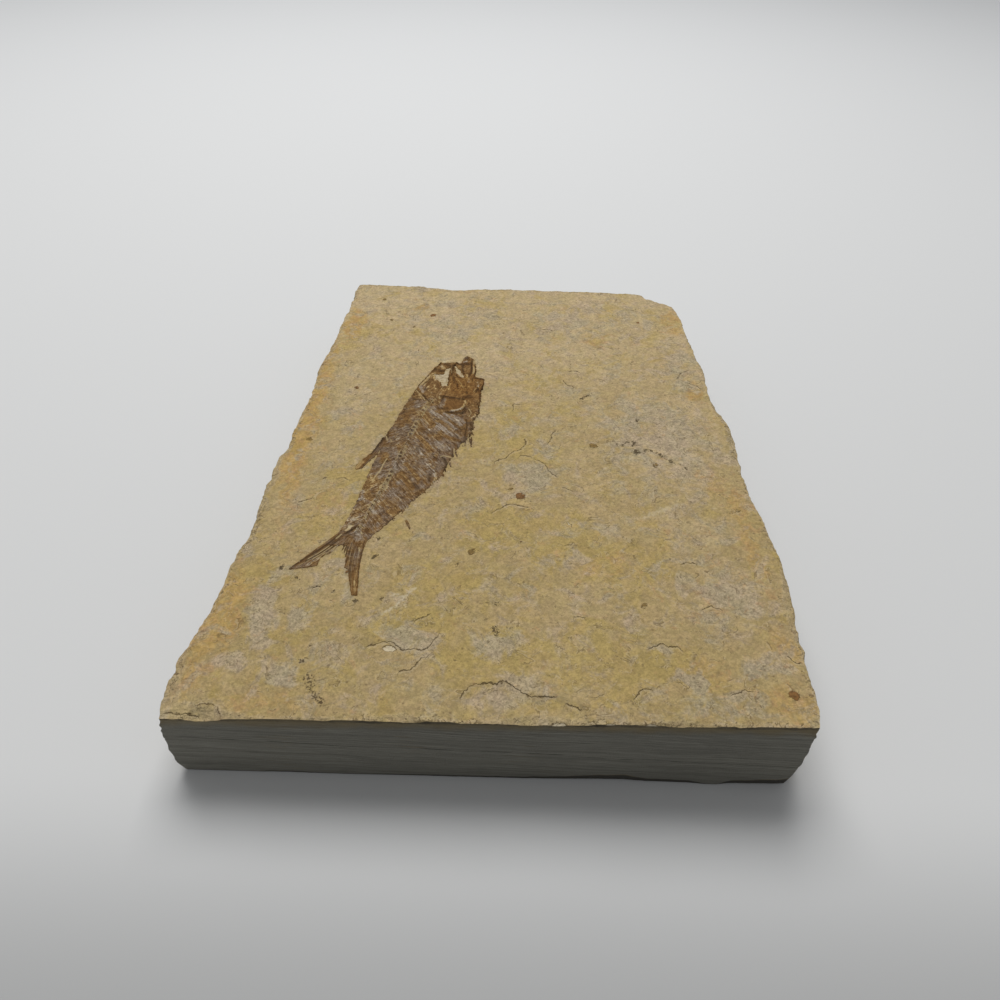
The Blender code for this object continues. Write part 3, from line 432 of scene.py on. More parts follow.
        (0.8, 0.2, 0, [(-16.2, 40.3), (-15.2, 39.2), (-13.8, 38.6), (-13.2, 38.2)]),
        (0.9, 0.22, 0, [(-10.9, 41.8), (-10.7, 39.4), (-10.5, 36.2), (-10.7, 33.6)]),
        (0.8, 0.16, 0, [(-9.5, 42.0), (-9.2, 38.0), (-9.0, 35.6), (-9.4, 32.6)]),
        (0.5, 0.28, 0, [(-23.9, 33.2), (-23.3, 31.6)]),
        (0.6, 0.22, 0, [(-24.9, 32.4), (-26.4, 29.4), (-28.2, 25.2), (-28.5, 23.6)]),
        (0.7, 0.3, 0, [(-24.4, 30.2), (-25.2, 28.4), (-26.2, 26.8)]),
        (0.7, 0.25, 0, [(-25.3, 25.2), (-25.4, 23.8)]),
        (0.8, 0.22, 0, [(-27.6, 23.6), (-26.2, 21.9), (-24.9, 19.9), (-23.7, 17.9)]),
        (0.7, 0.2, 0, [(-18.0, 38.2), (-18.3, 35.0), (-17.9, 31.6), (-18.2, 27.0)]),
        (0.6, 0.2, 0, [(-16.7, 38.8), (-16.7, 35.6), (-16.2, 32.6), (-16.6, 30.4), (-15.9, 28.4)]),
        (0.6, 0.18, 0, [(-15.8, 32.4), (-14.4, 31.0), (-13.2, 29.8)]),
        (0.8, 0.2, 0, [(-9.9, 31.6), (-10.1, 29.4)]),
        (0.9, 0.28, 0, [(-8.3, 25.8), (-7.9, 24.6), (-8.6, 22.8)]),
        (0.4, 0.2, 0, [(-8.9, 30.7), (-6.2, 30.3), (-6.0, 28.4), (-6.6, 26.0), (-6.9, 23.4),
            (-7.0, 18.0)]),
        (0.8, 0.3, 0, [(-19.2, 20.0), (-16.0, 19.6), (-13.8, 18.8), (-12.2, 18.4)]),
        (0.4, 0.25, 0, [(-17.6, 19.0), (-15.0, 18.4)]),
        (0.7, 0.4, 0, [(-17.6, 11.9), (-15.0, 11.6), (-12.8, 11.4), (-11.8, 12.4)]),
        (0.5, 0.35, 0, [(-20.2, 13.9), (-18.0, 13.4)]),
        (0.6, 0.25, 0, [(-29.6, 19.2), (-28.0, 18.4), (-26.2, 18.6)]),
        (0.7, 0.3, 0, [(-28.9, 21.8), (-28.6, 20.8)]),
        (0.8, 0.3, 0, [(-22.3, 17.2), (-22.0, 16.6)]),
        (0.6, 0.3, 0, [(-26.6, 14.0), (-25.6, 13.2)]),
        (0.5, 0.35, 0, [(-31.1, 15.4), (-30.3, 13.8), (-31.2, 11.0)]),
        (0.7, 0.25, 0, [(-14.4, -6.6), (-14.2, -9.6)]),
        (0.7, 0.3, 0, [(-16.4, -11.2), (-15.6, -14.0), (-16.0, -17.4)]),
        (0.45, 0.9, 0, [(-28.8, 5.0), (-28.2, 2.6)]),
        (0.5, 0.6, 0, [(-25.0, -6.2), (-24.2, -8.0)]),
        (0.5, 0.5, 0, [(-20.6, -18.4), (-20.0, -21.4)]),
        (0.6, 0.22, 0, [(-9.3, 6.8), (-8.7, 4.4), (-9.0, 1.0), (-8.9, -4.6)]),
        (0.6, 0.22, 0, [(-11.2, 8.2), (-10.6, 4.8), (-10.9, 0.6), (-10.8, -4.4)]),
        (0.9, 0.26, 0, [(-42.0, -43.4), (-44.0, -45.9), (-46.6, -48.8), (-49.4, -51.5), (-52.6, -55.0)]),
        (0.8, 0.24, 0, [(-41.6, -44.6), (-43.4, -46.8), (-46.0, -49.8), (-48.8, -52.4)]),
        (0.7, 0.18, 0, [(-42.2, -46.6), (-44.2, -48.8), (-46.4, -51.2), (-47.8, -53.2)]),
        (0.7, 0.16, 0, [(-41.4, -46.0), (-43.6, -49.0), (-45.0, -50.6)]),
        (0.9, 0.18, 0, [(-40.0, -45.8), (-40.5, -48.8)]),
        (0.9, 0.18, 0, [(-39.4, -46.6), (-39.9, -49.6)]),
        (0.9, 0.18, 0, [(-38.8, -47.0), (-39.2, -50.6)]),
        (0.7, 0.16, 0, [(-38.1, -45.6), (-38.2, -49.4), (-38.5, -53.2)]),
        (0.5, 0.14, 0, [(-37.3, -45.8), (-37.4, -50.0), (-37.2, -54.6), (-36.2, -59.0)]),
        (0.45, 0.14, 0, [(-36.5, -46.8), (-36.6, -51.0), (-36.2, -56.0), (-35.2, -61.0)]),
        (0.5, 0.14, 0, [(-34.9, -44.6), (-35.1, -49.0), (-34.9, -54.0), (-34.3, -60.0)]),
        (0.8, 0.3, 0, [(-37.4, -39.6), (-38.6, -40.8), (-40.2, -42.4)]),
        (0.7, 0.35, 0, [(-34.8, 0.4), (-36.6, -4.4), (-38.2, -9.0)]),
        (0.5, 0.2, 0, [(-39.0, -10.2), (-40.6, -13.0)]),
    ],
}

# Spines that stand out of the fish's outline, from root to tip
EDGE_SPINES = [
    ((-9.7, 4.6), (-8.2, -0.6)), ((-9.9, 1.0), (-8.9, -5.5)), ((-10.6, -0.4), (-10.7, -5.0)),
    ((-13.4, -8.2), (-12.6, -10.6)), ((-15.2, -12.6), (-14.3, -14.8)), ((-16.4, -18.0), (-15.6, -20.2)),
    ((-23.2, 36.8), (-21.2, 40.4)), ((-8.9, 3.6), (-8.2, 4.3)), ((-9.0, -1.0), (-8.8, -5.4)),
    ((-10.4, -1.4), (-10.8, -4.9)), ((-12.4, -4.0), (-12.7, -6.6)), ((-25.0, -31.0), (-25.1, -34.6)),
    ((-26.0, -33.4), (-26.6, -35.0)), ((-39.6, -45.4), (-40.3, -48.8)), ((-39.2, -45.6), (-39.6, -49.6)),
    ((-38.8, -46.0), (-39.0, -50.8)), ((-41.2, -46.0), (-43.6, -50.2)), ((-17.2, -9.8), (-14.6, -10.2)),
]

# The loose splinter, from end to end
SPLINTER_ENDS = ((-24.95, -37.0), (-23.45, -40.55))
SPLINTER_HALF_WIDTH = 0.34
SPLINTER_HEIGHT = 0.30

# Marks of the stone's face
PELLETS = [
    ((5.75, -26.75), 1.35, 1.0), ((27.7, -4.4), 1.25, 0.9), ((45.3, -13.3), 1.2, 0.6),
    ((-6.7, -48.3), 1.0, 0.9), ((65.1, -89.9), 1.3, 0.9), ((2.9, -24.0), 0.6, 0.8),
    ((35.7, -65.3), 0.9, 0.6), ((5.6, -44.4), 0.7, 0.6), ((22.9, 37.3), 0.8, 0.4),
    ((-26.8, 72.9), 1.1, 0.8), ((-46.5, 84.4), 0.9, 0.7), ((-42.0, 69.0), 0.8, 0.7),
    ((-45.0, 68.4), 0.6, 0.5), ((-33.0, 64.3), 0.8, 0.6), ((-29.7, 48.3), 0.6, 0.5),
    ((-48.1, 24.9), 0.9, 0.9), ((10.3, 82.9), 0.7, 0.6), ((49.6, 68.7), 0.6, 0.8),
    ((-58.0, -2.7), 1.0, 0.6), ((-37.8, -55.8), 0.45, 0.9), ((57.0, -92.5), 0.7, 0.5),
    ((20.0, -61.0), 0.5, 0.3),
]
OLIVE_PELLETS = [
    ((27.7, -4.4), 3.0), ((45.3, -13.3), 3.0), ((2.9, -24.0), 2.0), ((-6.7, -48.3), 2.0),
    ((-46.5, 84.4), 3.0), ((-42.0, 69.0), 3.0), ((-33.0, 64.3), 3.0), ((-58.0, -2.7), 3.0),
    ((35.7, -65.3), 2.0),
]
SOOT = [
    ((42.4, 8.5), 0.6), ((-50.0, -20.4), 0.4), ((-31.3, -43.9), 0.45), ((-31.9, -50.6), 0.45),
    ((-30.9, -50.1), 0.3), ((-10.0, -53.0), 0.4), ((-54.6, -54.7), 0.55), ((-39.9, -62.1), 0.4),
    ((-22.9, -61.3), 0.25), ((-27.9, -64.3), 0.4), ((-43.6, -82.7), 0.5), ((40.5, -7.1), 0.95),
    ((35.3, -2.9), 0.4), ((40.0, -2.0), 0.4), ((43.0, -6.0), 0.5), ((44.6, -6.6), 0.4),
    ((47.3, -8.3), 0.55), ((48.6, -9.4), 0.35), ((50.0, -11.3), 0.45), ((52.3, -12.8), 0.35),
    ((54.0, -14.0), 0.4), ((36.5, -4.0), 0.3), ((-2.0, -70.0), 0.4), ((-34.1, -64.9), 0.5),
    ((-42.6, -78.5), 0.35),
]
SOOT_STREAKS = [
    (1.0, 0.38, [(25.6, 20.1), (26.8, 21.3), (28.2, 22.2)]), (1.0, 0.3, [(39.4, -4.6), (40.4, -2.2)]),
    (0.8, 0.42, [(-0.6, -72.6), (0.6, -74.6)]), (0.7, 0.3, [(-0.4, -65.1), (0.8, -65.5)]),
    (0.52, 0.8, [(-41.2, -86.8), (-40.4, -88.6)]), (0.5, 0.55, [(-40.6, -89.6), (-39.4, -90.8)]),
    (0.62, 0.6, [(-38.6, -91.4), (-36.9, -93.4)]), (0.8, 0.3, [(-50.3, -57.6), (-49.0, -58.4)]),
    (0.7, 0.38, [(44.0, -6.2), (46.0, -7.0), (47.4, -8.6), (48.8, -9.6)]),
    (0.6, 0.3, [(49.6, -10.8), (50.8, -12.0), (52.4, -12.8)]), (0.6, 0.3, [(36.2, -3.8), (38.4, -2.4)]),
    (0.55, 0.22, [(-46.2, -61.0), (-44.6, -60.8), (-43.2, -60.6)]),
]

# Hairline cracks and the edges of thin flakes, in the slab's frame
CRACKS = [
    [(-2.5, -12.8), (-0.6, -11.4), (1.2, -10.9), (3.4, -7.5), (5.6, -6.6), (7.2, -4.7), (7.8, -3.0),
        (6.9, -0.7)],
    [(9.7, -10.9), (11.6, -11.4), (13.1, -13.1), (14.1, -15.3), (15.0, -17.5), (16.9, -18.8)],
    [(5.3, -9.1), (9.7, -9.5)],
    [(17.5, -22.5), (20.9, -24.7)],
    [(-2.5, -34.1), (1.6, -30.9), (3.4, -29.9), (5.6, -30.8), (9.1, -31.1)],
    [(13.6, -4.5), (15.5, -1.2), (15.6, 1.2), (16.9, 3.8)],
    [(3.6, 12.7), (3.6, 16.7), (7.3, 16.7)],
    [(-56.0, -30.7), (-54.2, -30.0), (-52.7, -29.3), (-51.3, -28.7)],
    [(-46.1, -61.1), (-44.4, -60.7), (-43.0, -60.9)],
    [(-30.0, -78.7), (-24.7, -76.7), (-20.7, -79.3), (-15.3, -78.7), (-12.7, -74.0)],
    [(-22.0, -85.0), (-18.7, -84.7), (-16.0, -80.7)],
    [(-20.0, -71.3), (-15.3, -68.7)],
    [(-7.6, -92.0), (-5.3, -88.7), (-3.3, -87.7), (2.7, -87.3), (7.3, -90.7), (14.0, -90.9)],
    [(15.3, -92.0), (19.3, -94.0)],
    [(-57.6, -97.2), (-58.4, -95.6), (-59.6, -94.5), (-61.2, -93.9), (-62.8, -94.1), (-64.0, -94.8)],
    [(30.0, -91.4), (32.4, -88.6), (35.0, -88.9)],
    [(34.6, -78.2), (38.0, -76.6), (42.0, -77.6), (43.2, -78.8)],
    [(51.0, -90.0), (54.6, -88.4), (56.8, -88.8)],
    [(66.0, -79.0), (67.4, -81.0), (69.4, -81.6)],
    [(21.6, 36.4), (25.4, 36.2), (26.6, 34.6)],
    [(20.0, 31.4), (21.4, 28.0), (24.8, 26.2)],
    [(58.4, 31.2), (60.6, 35.6), (63.4, 37.0)],
    [(60.6, 29.8), (63.6, 28.0), (65.8, 25.8)],
    [(12.6, 62.4), (16.0, 63.6), (18.4, 62.0)],
    [(-45.0, -20.0), (-42.4, -21.4)],
    [(17.0, -46.0), (20.4, -44.6)],
    [(46.0, -52.0), (49.6, -51.2), (51.0, -52.0)],
    [(63.0, -33.0), (66.4, -32.0)],
    [(18.0, -69.0), (21.6, -69.3)],
    [(49.0, -66.4), (52.0, -65.2), (54.6, -66.6)],
    [(-70.8, -95.9), (-68.2, -96.1), (-65.2, -95.9), (-62.4, -96.4)],
]
CRACK_REACH = 1.6

# The long pale scratch, the pale streak and the cream pit
SCRATCHES = [
    (1.0, 0.24, [(-19.9, -60.8), (-21.4, -62.0), (-22.4, -63.8), (-24.0, -66.4), (-26.9, -68.9)]),
    (0.9, 0.20, [(-21.6, -66.8), (-22.6, -64.4), (-24.2, -63.0), (-26.2, -62.6)]),
    (0.5, 0.50, [(39.3, -34.7), (42.6, -33.2), (46.0, -31.4), (50.0, -30.0)]),
    (0.4, 0.30, [(19.0, -36.0), (20.0, -38.6)]),
    (0.5, 0.25, [(-38.2, -57.0), (-37.4, -60.0), (-36.4, -62.4)]),
]
# Small chips that show pale stone: middle, half length, half width, turn in degrees
PALE_CHIPS = [
    ((-24.3, -78.9), 1.6, 0.85, -12.0), ((13.9, FRONT_Y), 1.7, 0.55, 0.0),
    ((24.6, FRONT_Y), 1.2, 0.3, 0.0), ((33.4, FRONT_Y), 1.5, 0.3, 0.0), ((19.1, -37.5), 0.4, 1.4, 35.0),
]
PALE_CHIP_DEPTH = 0.35

# Broad patches of colour on the face, by tone: strength, centre, half length, half width, turn in degrees
PATCHES = {
    "ochre": [
        (0.9, (-61, 20), 75, 6, 92), (1, (-56, 66), 16, 5, 92), (0.8, (-66, -72), 26, 8, 85),
        (0.9, (-31.3, 79), 3.5, 3.5, 0), (0.5, (-27, 74), 4, 6, 0), (0.7, (62, 70), 14, 5, 95),
        (0.8, (63.5, 24), 8, 3.5, 90), (0.6, (66, -40), 34, 4, 90), (0.6, (62, -91), 12, 6, 0),
        (0.6, (32, 58), 7, 6, 45), (0.5, (60, -20), 6, 12, 10), (0.6, (54, -66), 9, 5, 20),
        (0.5, (58, -55), 5, 8, 10), (0.5, (-50, -93), 14, 4, 0), (0.5, (28, -52), 12, 5, 30),
        (0.5, (46, -84), 8, 6, 0), (0.4, (-47, -30), 6, 10, 0), (0.6, (66, -78), 6, 9, 0),
    ],
    "yellow": [
        (0.5, (5, -40), 20, 12, 10), (0.7, (8, -80), 34, 12, 0), (0.5, (-42, -30), 12, 18, 0),
        (0.5, (-14, -58), 16, 10, 0), (0.3, (14, 32), 10, 12, 0), (0.6, (30, -82), 12, 12, 0),
        (0.6, (34, -52), 12, 8, 20), (0.5, (24, -92), 14, 4, 0), (0.35, (4, 2), 16, 18, 0),
        (0.5, (-44, -72), 8, 6, 0), (0.4, (-52, 62), 8, 10, 0), (0.6, (-20, -72), 13, 8, 0),
        (0.6, (20, -47), 17, 9, 0),
    ],
    "grey": [
        (0.8, (-41, -52.8), 3.6, 2.4, 0), (0.8, (8, -18), 8, 8, 20), (0.8, (-55.5, -70.5), 5, 12, 14),
        (0.6, (-59.4, -83), 8, 3.5, 10), (0.5, (58, -62), 12, 14, 0), (0.6, (60, -82), 7, 5, 0),
        (0.8, (38.7, -78.9), 4, 2.6, -20), (0.7, (43.5, -86.5), 2.4, 4, 20), (0.6, (2, -90), 9, 4, 0),
        (0.6, (-47.1, -86), 4.5, 4, 20), (0.7, (-62.8, -49), 3, 2.4, 0), (0.6, (-46, -71), 4, 4, 0),
        (0.6, (50, 0), 18, 24, 20), (0.3, (30, 70), 30, 16, 0), (0.3, (-20, 70), 20, 18, 0),
        (0.5, (-64.5, -32), 2.4, 6, 0), (0.5, (52, -92), 10, 4, 0), (0.5, (2, -78), 9, 4, 15),
        (0.5, (-20, -76), 7, 5, 0), (0.5, (14, -4), 5, 6, 40), (0.4, (60, 40), 8, 20, 0),
    ],
    "beige": [
        (0.8, (-46, 25), 12, 28, 0), (0.7, (-32, 36), 9, 12, 20), (0.7, (50, -8), 18, 18, 20),
        (0.6, (52, -40), 14, 10, 0), (0.6, (40, 20), 22, 24, 0), (0.5, (-58, -28), 7, 14, 0),
        (0.5, (56, -62), 14, 16, 0), (0.4, (10, 78), 12, 10, 0),
    ],
}

# The photograph's camera
CAMERA_PLACE = (-0.10, -180.9, 166.63)
CAMERA_LENS = 27.04
CAMERA_SENSOR = 36.0
CAMERA_TURNS = ((-1.27, "Y"), (1.06, "Z"), (47.0, "X"))


# Small tools

SEED_STEP = 7.3  # how far apart two seeds' patterns lie


def noise_at(spots, scale, seed):
    """Smooth noise between about -1 and 1 at each spot, the same on each run. A seed picks the pattern."""
    rows = (spots / scale).tolist()
    lift = seed * SEED_STEP
    if spots.shape[1] == 2:
        return np.array([noise.noise(Vector((x, y, lift))) for x, y in rows])
    return np.array([noise.noise(Vector((x, y, z + lift))) for x, y, z in rows])


def rough(spots, *waves):
    """A sum of noises, each given as a height, a size and a seed."""
    return sum(height * noise_at(spots, scale, seed) for height, scale, seed in waves)


def drift(spots, scale, seed):
    """Noise along both axes, to push the spots of a pattern about."""
    return np.column_stack([noise_at(spots, scale, seed), noise_at(spots, scale, seed + 1)])


def unit(amount):
    """An amount kept between 0 and 1."""
    return np.clip(amount, 0.0, 1.0)


def smooth(amount, low, high):
    """0 below low, 1 above high, and an even S between them."""
    share = unit((amount - low) / (high - low))
    return share * share * (3.0 - 2.0 * share)


def fall(amount, low, high):
    """1 below low, 0 above high, and an even S between them."""
    return 1.0 - smooth(amount, low, high)


def between(amount, start, full, fading, end):
    """1 between full and fading, and evenly down to 0 at the start and the end."""
    return smooth(amount, start, full) * fall(amount, fading, end)


def strongest(amounts, lowest=0.0):
    """The strongest of several marks at each spot, and never less than the lowest."""
    return np.maximum(np.max(list(amounts), axis=0), lowest)


def at(table, places):
    """The values of a broken line, given as (place, value) points."""
    return np.interp(places, [point[0] for point in table], [point[1] for point in table])


def to_line(spots, line):
    """Distance from each spot to a broken line, and on which side of it and how far along the spot lies."""
    gap = np.full(len(spots), NOWHERE)
    side = np.zeros(len(spots))
    way = np.zeros(len(spots))
    passed = 0.0
    for start, end in zip(np.array(line[:-1]), np.array(line[1:])):
        run = end - start
        length = np.hypot(*run)
        rest = spots - start
        share = unit(rest @ run / length**2)
        here = np.hypot(*(rest - share[:, None] * run).T)
        nearer = here < gap
        gap[nearer] = here[nearer]
        side[nearer] = np.sign(run[0] * rest[:, 1] - run[1] * rest[:, 0])[nearer]
        way[nearer] = (passed + share * length)[nearer]
        passed += length
    return gap, side, way


def near(spots, line, reach):
    """Which spots lie in a line's bounding box, widened by its reach."""
    line = np.array(line)
    low, high = line.min(axis=0) - reach, line.max(axis=0) + reach
    return np.flatnonzero(((spots > low) & (spots < high)).all(axis=1))


def stroke(spots, line, half_width):
    """How much of a soft brush stroke lies on each spot: 1 along its middle, 0 at twice its half width."""
    amount = np.zeros(len(spots))
    close = near(spots, line, 2.0 * half_width)
    gap, _, _ = to_line(spots[close], line)
    amount[close] = fall(gap, 0.3 * half_width, 1.7 * half_width)
    return amount


def within(spots, loop):
    """How far each spot lies inside a closed loop of points, below zero outside it."""
    gap = np.full(len(spots), NOWHERE)
    inside = np.zeros(len(spots), bool)
    corners = np.array(loop)
    for start, end in zip(corners, np.roll(corners, -1, axis=0)):
        run = end - start
        rest = spots - start
        share = unit(rest @ run / (run @ run))
        gap = np.minimum(gap, np.hypot(*(rest - share[:, None] * run).T))
        if run[1]:
            crosses = (start[1] > spots[:, 1]) != (end[1] > spots[:, 1])
            inside ^= crosses & (rest[:, 0] < run[0] * rest[:, 1] / run[1])
    return np.where(inside, gap, -gap)


def spine(spots, root, tip, root_half, tip_half):
    """How far each spot lies inside a tapered spine, below zero outside it."""
    amount = np.full(len(spots), -NOWHERE)
    close = near(spots, [root, tip], 2.0)
    gap, _, way = to_line(spots[close], [root, tip])
    length = math.dist(root, tip)
    amount[close] = root_half + (tip_half - root_half) * way / length - gap
    return amount


def ellipse_share(spots, centre, half_length, half_width, turn):
    """How far out each spot lies in an ellipse: 0 in its middle and 1 on its edge."""
    angle = math.radians(turn)
    rest = spots - np.array(centre)
    across = rest @ np.array([math.cos(angle), math.sin(angle)]) / half_length
    up = rest @ np.array([-math.sin(angle), math.cos(angle)]) / half_width
    return np.hypot(across, up)


def ellipse(spots, *shape):
    """1 in the middle of an ellipse, falling softly to 0 at its edge."""
    return fall(ellipse_share(spots, *shape), 0.35, 1.15)


def disc(spots, centre, radius):
    return ellipse(spots, centre, radius, radius, 0.0)


def select_only(thing):
    bpy.ops.object.select_all(action="DESELECT")
    thing.select_set(True)
    bpy.context.view_layer.objects.active = thing


def read_places(mesh):
    flat = np.empty(len(mesh.vertices) * 3, np.float32)
    mesh.vertices.foreach_get("co", flat)
    return flat.reshape(-1, 3).astype(float)


def write_places(mesh, places):
    mesh.vertices.foreach_set("co", (places * MM).astype(np.float32).ravel())
    mesh.update()


def write_mark(mesh, name, amounts):
    mark = mesh.attributes.new(name, "FLOAT", "POINT")
    mark.data.foreach_set("value", np.asarray(amounts, np.float32))


def write_run(mesh, places):
    """Stores which way the bone's fibres run, as a place along and across them."""
    run = mesh.attributes.new("fibre", "FLOAT_VECTOR", "POINT")
    run.data.foreach_set("vector", places.astype(np.float32).ravel())


def add_sheet(name, columns, rows, rings):
    """A unit sheet of squares whose rim is pulled down ring by ring and closed below. X and Y run from
    -0.5 to 0.5, and Z counts the rings."""
    bpy.ops.object.select_all(action="DESELECT")
    bpy.ops.mesh.primitive_grid_add(x_subdivisions=columns, y_subdivisions=rows, size=1.0)
    sheet = bpy.context.object
    sheet.name = name
    sheet.data.name = name
    pull_down_rim(sheet, rings)
    return sheet


def pull_down_rim(sheet, rings):
    select_only(sheet)
    bpy.ops.object.mode_set(mode="EDIT")
    bpy.context.tool_settings.mesh_select_mode = (False, True, False)
    bpy.ops.mesh.select_all(action="DESELECT")
    bpy.ops.mesh.select_non_manifold(
        use_wire=False, use_boundary=True, use_multi_face=False, use_non_contiguous=False, use_verts=False
    )
    for _ in range(rings):
        bpy.ops.mesh.extrude_edges_move(TRANSFORM_OT_translate={"value": (0.0, 0.0, -1.0)})
    bpy.ops.mesh.edge_face_add()
    bpy.ops.object.mode_set(mode="OBJECT")


def trim_sheet(sheet, away):
    """Deletes the points of a sheet that are marked as away."""
    mesh = sheet.data
    for items in (mesh.vertices, mesh.edges, mesh.polygons):
        items.foreach_set("select", np.zeros(len(items), bool))
    mesh.vertices.foreach_set("select", away)
    select_only(sheet)
    bpy.context.tool_settings.mesh_select_mode = (True, False, False)
    bpy.ops.object.mode_set(mode="EDIT")
    bpy.ops.mesh.delete(type="VERT")
    bpy.ops.object.mode_set(mode="OBJECT")


def finish_piece(thing, node, material, sharp_angle):
    """Turns the faces outwards, shades and fastens a finished piece."""
    select_only(thing)
    bpy.ops.object.mode_set(mode="EDIT")
    bpy.ops.mesh.select_all(action="SELECT")
    bpy.ops.mesh.normals_make_consistent(inside=False)
    bpy.ops.object.mode_set(mode="OBJECT")
    bpy.ops.object.shade_smooth_by_angle(angle=math.radians(sharp_angle))
    thing.data.materials.clear()
    thing.data.materials.append(material)
    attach(thing, "root")
    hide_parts(node)


# Nodes


class Desk:
    """Places nodes in a tree, with short words for the ones that are used most."""

    def __init__(self, tree):
        self.tree = tree

    def put(self, kind, values=None, **settings):
        node = self.tree.nodes.new(kind)
        for key, value in settings.items():
            setattr(node, key, value)
        for key, value in (values or {}).items():
            self.feed(node.inputs[key], value)
        return node

    def feed(self, socket, value):
        if isinstance(value, bpy.types.NodeSocket):
            self.tree.links.new(value, socket)
        else:
            socket.default_value = value

    def group(self, name, **values):
        return self.put("ShaderNodeGroup", values, node_tree=bpy.data.node_groups[name]).outputs

    def mark(self, name, output="Fac"):
        node = self.put("ShaderNodeAttribute", attribute_name=name, attribute_type="GEOMETRY")
        return node.outputs[output]

    def sum(self, operation, a, b=0.0, c=0.0, clamp=False):
        node = self.put("ShaderNodeMath", {0: a, 1: b, 2: c}, operation=operation, use_clamp=clamp)
        return node.outputs[0]

    def plus(self, a, b):
        return self.sum("ADD", a, b)

    def minus(self, a, b):
        return self.sum("SUBTRACT", a, b)

    def times(self, a, b):
        return self.sum("MULTIPLY", a, b)

    def over(self, a, b):
        return self.sum("DIVIDE", a, b)

    def most(self, a, b):
        return self.sum("MAXIMUM", a, b)

    def scale_add(self, a, share, rest):
        """A share of a, plus the rest."""
        return self.sum("MULTIPLY_ADD", a, share, rest)

    def distance(self, a):
        """How far a is from zero, either way."""
        return self.sum("ABSOLUTE", a)

    def swing(self, cloud, strength):
        """How far a cloud swings up and down about its middle."""
        return self.times(self.minus(cloud, 0.5), strength)

    def step(self, value, low, high, start=0.0, end=1.0):
        values = {0: value, 1: low, 2: high, 3: start, 4: end}
        return self.put("ShaderNodeMapRange", values, interpolation_type="SMOOTHSTEP").outputs[0]

    def parts(self, spot):
        return self.put("ShaderNodeSeparateXYZ", {0: spot}).outputs

    def joined(self, x, y, z):
        return self.put("ShaderNodeCombineXYZ", {0: x, 1: y, 2: z}).outputs[0]

    def scaled(self, spot, share):
        return self.put("ShaderNodeVectorMath", {0: spot, 3: share}, operation="SCALE").outputs[0]

    def measured(self, spot, size):
        """A spot counted in steps of a size."""
        return self.scaled(spot, self.over(1.0, size))

    def stretch(self, spot, scale, place=(0.0, 0.0, 0.0)):
        return self.put("ShaderNodeMapping", {"Vector": spot, "Location": place, "Scale": scale}).outputs[0]

    def aside(self, spot, x, y):
        """A spot slid aside, so that a pattern doesn't repeat another one of its size."""
        return self.stretch(spot, (1.0, 1.0, 1.0), (x, y, 0.0))

    def cloud(self, spot, size, detail=2.0, rough=0.5, twist=0.0):
        """Noise from 0 to 1 whose blobs are about one size across, in millimetres."""
        values = {"Vector": spot, "Scale": 1.0 / size, "Detail": detail, "Roughness": rough}
        values["Distortion"] = twist
        return self.put("ShaderNodeTexNoise", values).outputs[0]

    def cells(self, spot, size):
        return self.put("ShaderNodeTexVoronoi", {"Vector": spot, "Scale": 1.0 / size}).outputs

    def blend(self, share, first, second, way="MIX"):
        node = self.put("ShaderNodeMix", {0: share, 6: first, 7: second}, data_type="RGBA", blend_type=way)
        return node.outputs[2]

    def blend_heights(self, share, first, second):
        return self.put("ShaderNodeMix", {0: share, 2: first, 3: second}).outputs[0]

    def lay(self, colour, mask, share, finish):
        """A colour with up to a share of a finish over it, where the mask shows."""
        return self.blend(self.times(mask, share), colour, finish)

    def shaded(self, colour, shade):
        grey = self.put("ShaderNodeCombineColor", {0: shade, 1: shade, 2: shade}).outputs[0]
        return self.blend(1.0, colour, grey, "MULTIPLY")

    def ramp(self, value, stops):
        """Colour along a scale of (place, colour) stops."""
        node = self.put("ShaderNodeValToRGB", {0: value})
        points = node.color_ramp.elements
        while len(points) < len(stops):
            points.new(0.5)
        for point, (place, colour) in zip(points, stops):
            point.position = place
            point.color = colour
        return node.outputs[0]


def new_group(name, inputs, outputs):
    """An empty node group. Gives back its desk and the sockets of its two end nodes."""
    group = bpy.data.node_groups.new(name, "ShaderNodeTree")
    group.interface.new_socket(name="Spot", in_out="INPUT", socket_type="NodeSocketVector")
    for label, value in inputs.items():
        socket = group.interface.new_socket(name=label, in_out="INPUT", socket_type="NodeSocketFloat")
        socket.default_value = value
    for label in outputs:
        group.interface.new_socket(name=label, in_out="OUTPUT", socket_type="NodeSocketFloat")
    desk = Desk(group)
    start = desk.put("NodeGroupInput")
    end = desk.put("NodeGroupOutput")
    return desk, start.outputs, end.inputs


def make_grain_group():
    """Fine grain of a mineral surface: a height, a tone and sparse dark grains."""
    desk, start, end = new_group("mineral grain", {"Size": 0.4}, ["Height", "Tone", "Grains"])
    spot = desk.measured(start["Spot"], start["Size"])
    fine = desk.cloud(spot, 1.5, 4.0, 0.72, 0.8)
    coarse = desk.cloud(spot, 4.5, 4.0, 0.66, 0.9)
    desk.feed(end["Height"], desk.scale_add(fine, 0.5, desk.times(coarse, 0.5)))
    desk.feed(end["Tone"], desk.scale_add(fine, 0.75, desk.times(coarse, 0.25)))
    cells = desk.cells(spot, 3.2)
    dot = desk.step(cells["Distance"], 0.30, 0.12)
    chance = desk.put("ShaderNodeSeparateColor", {0: cells["Color"]}).outputs[0]
    desk.feed(end["Grains"], desk.times(dot, desk.step(chance, 0.72, 0.80)))


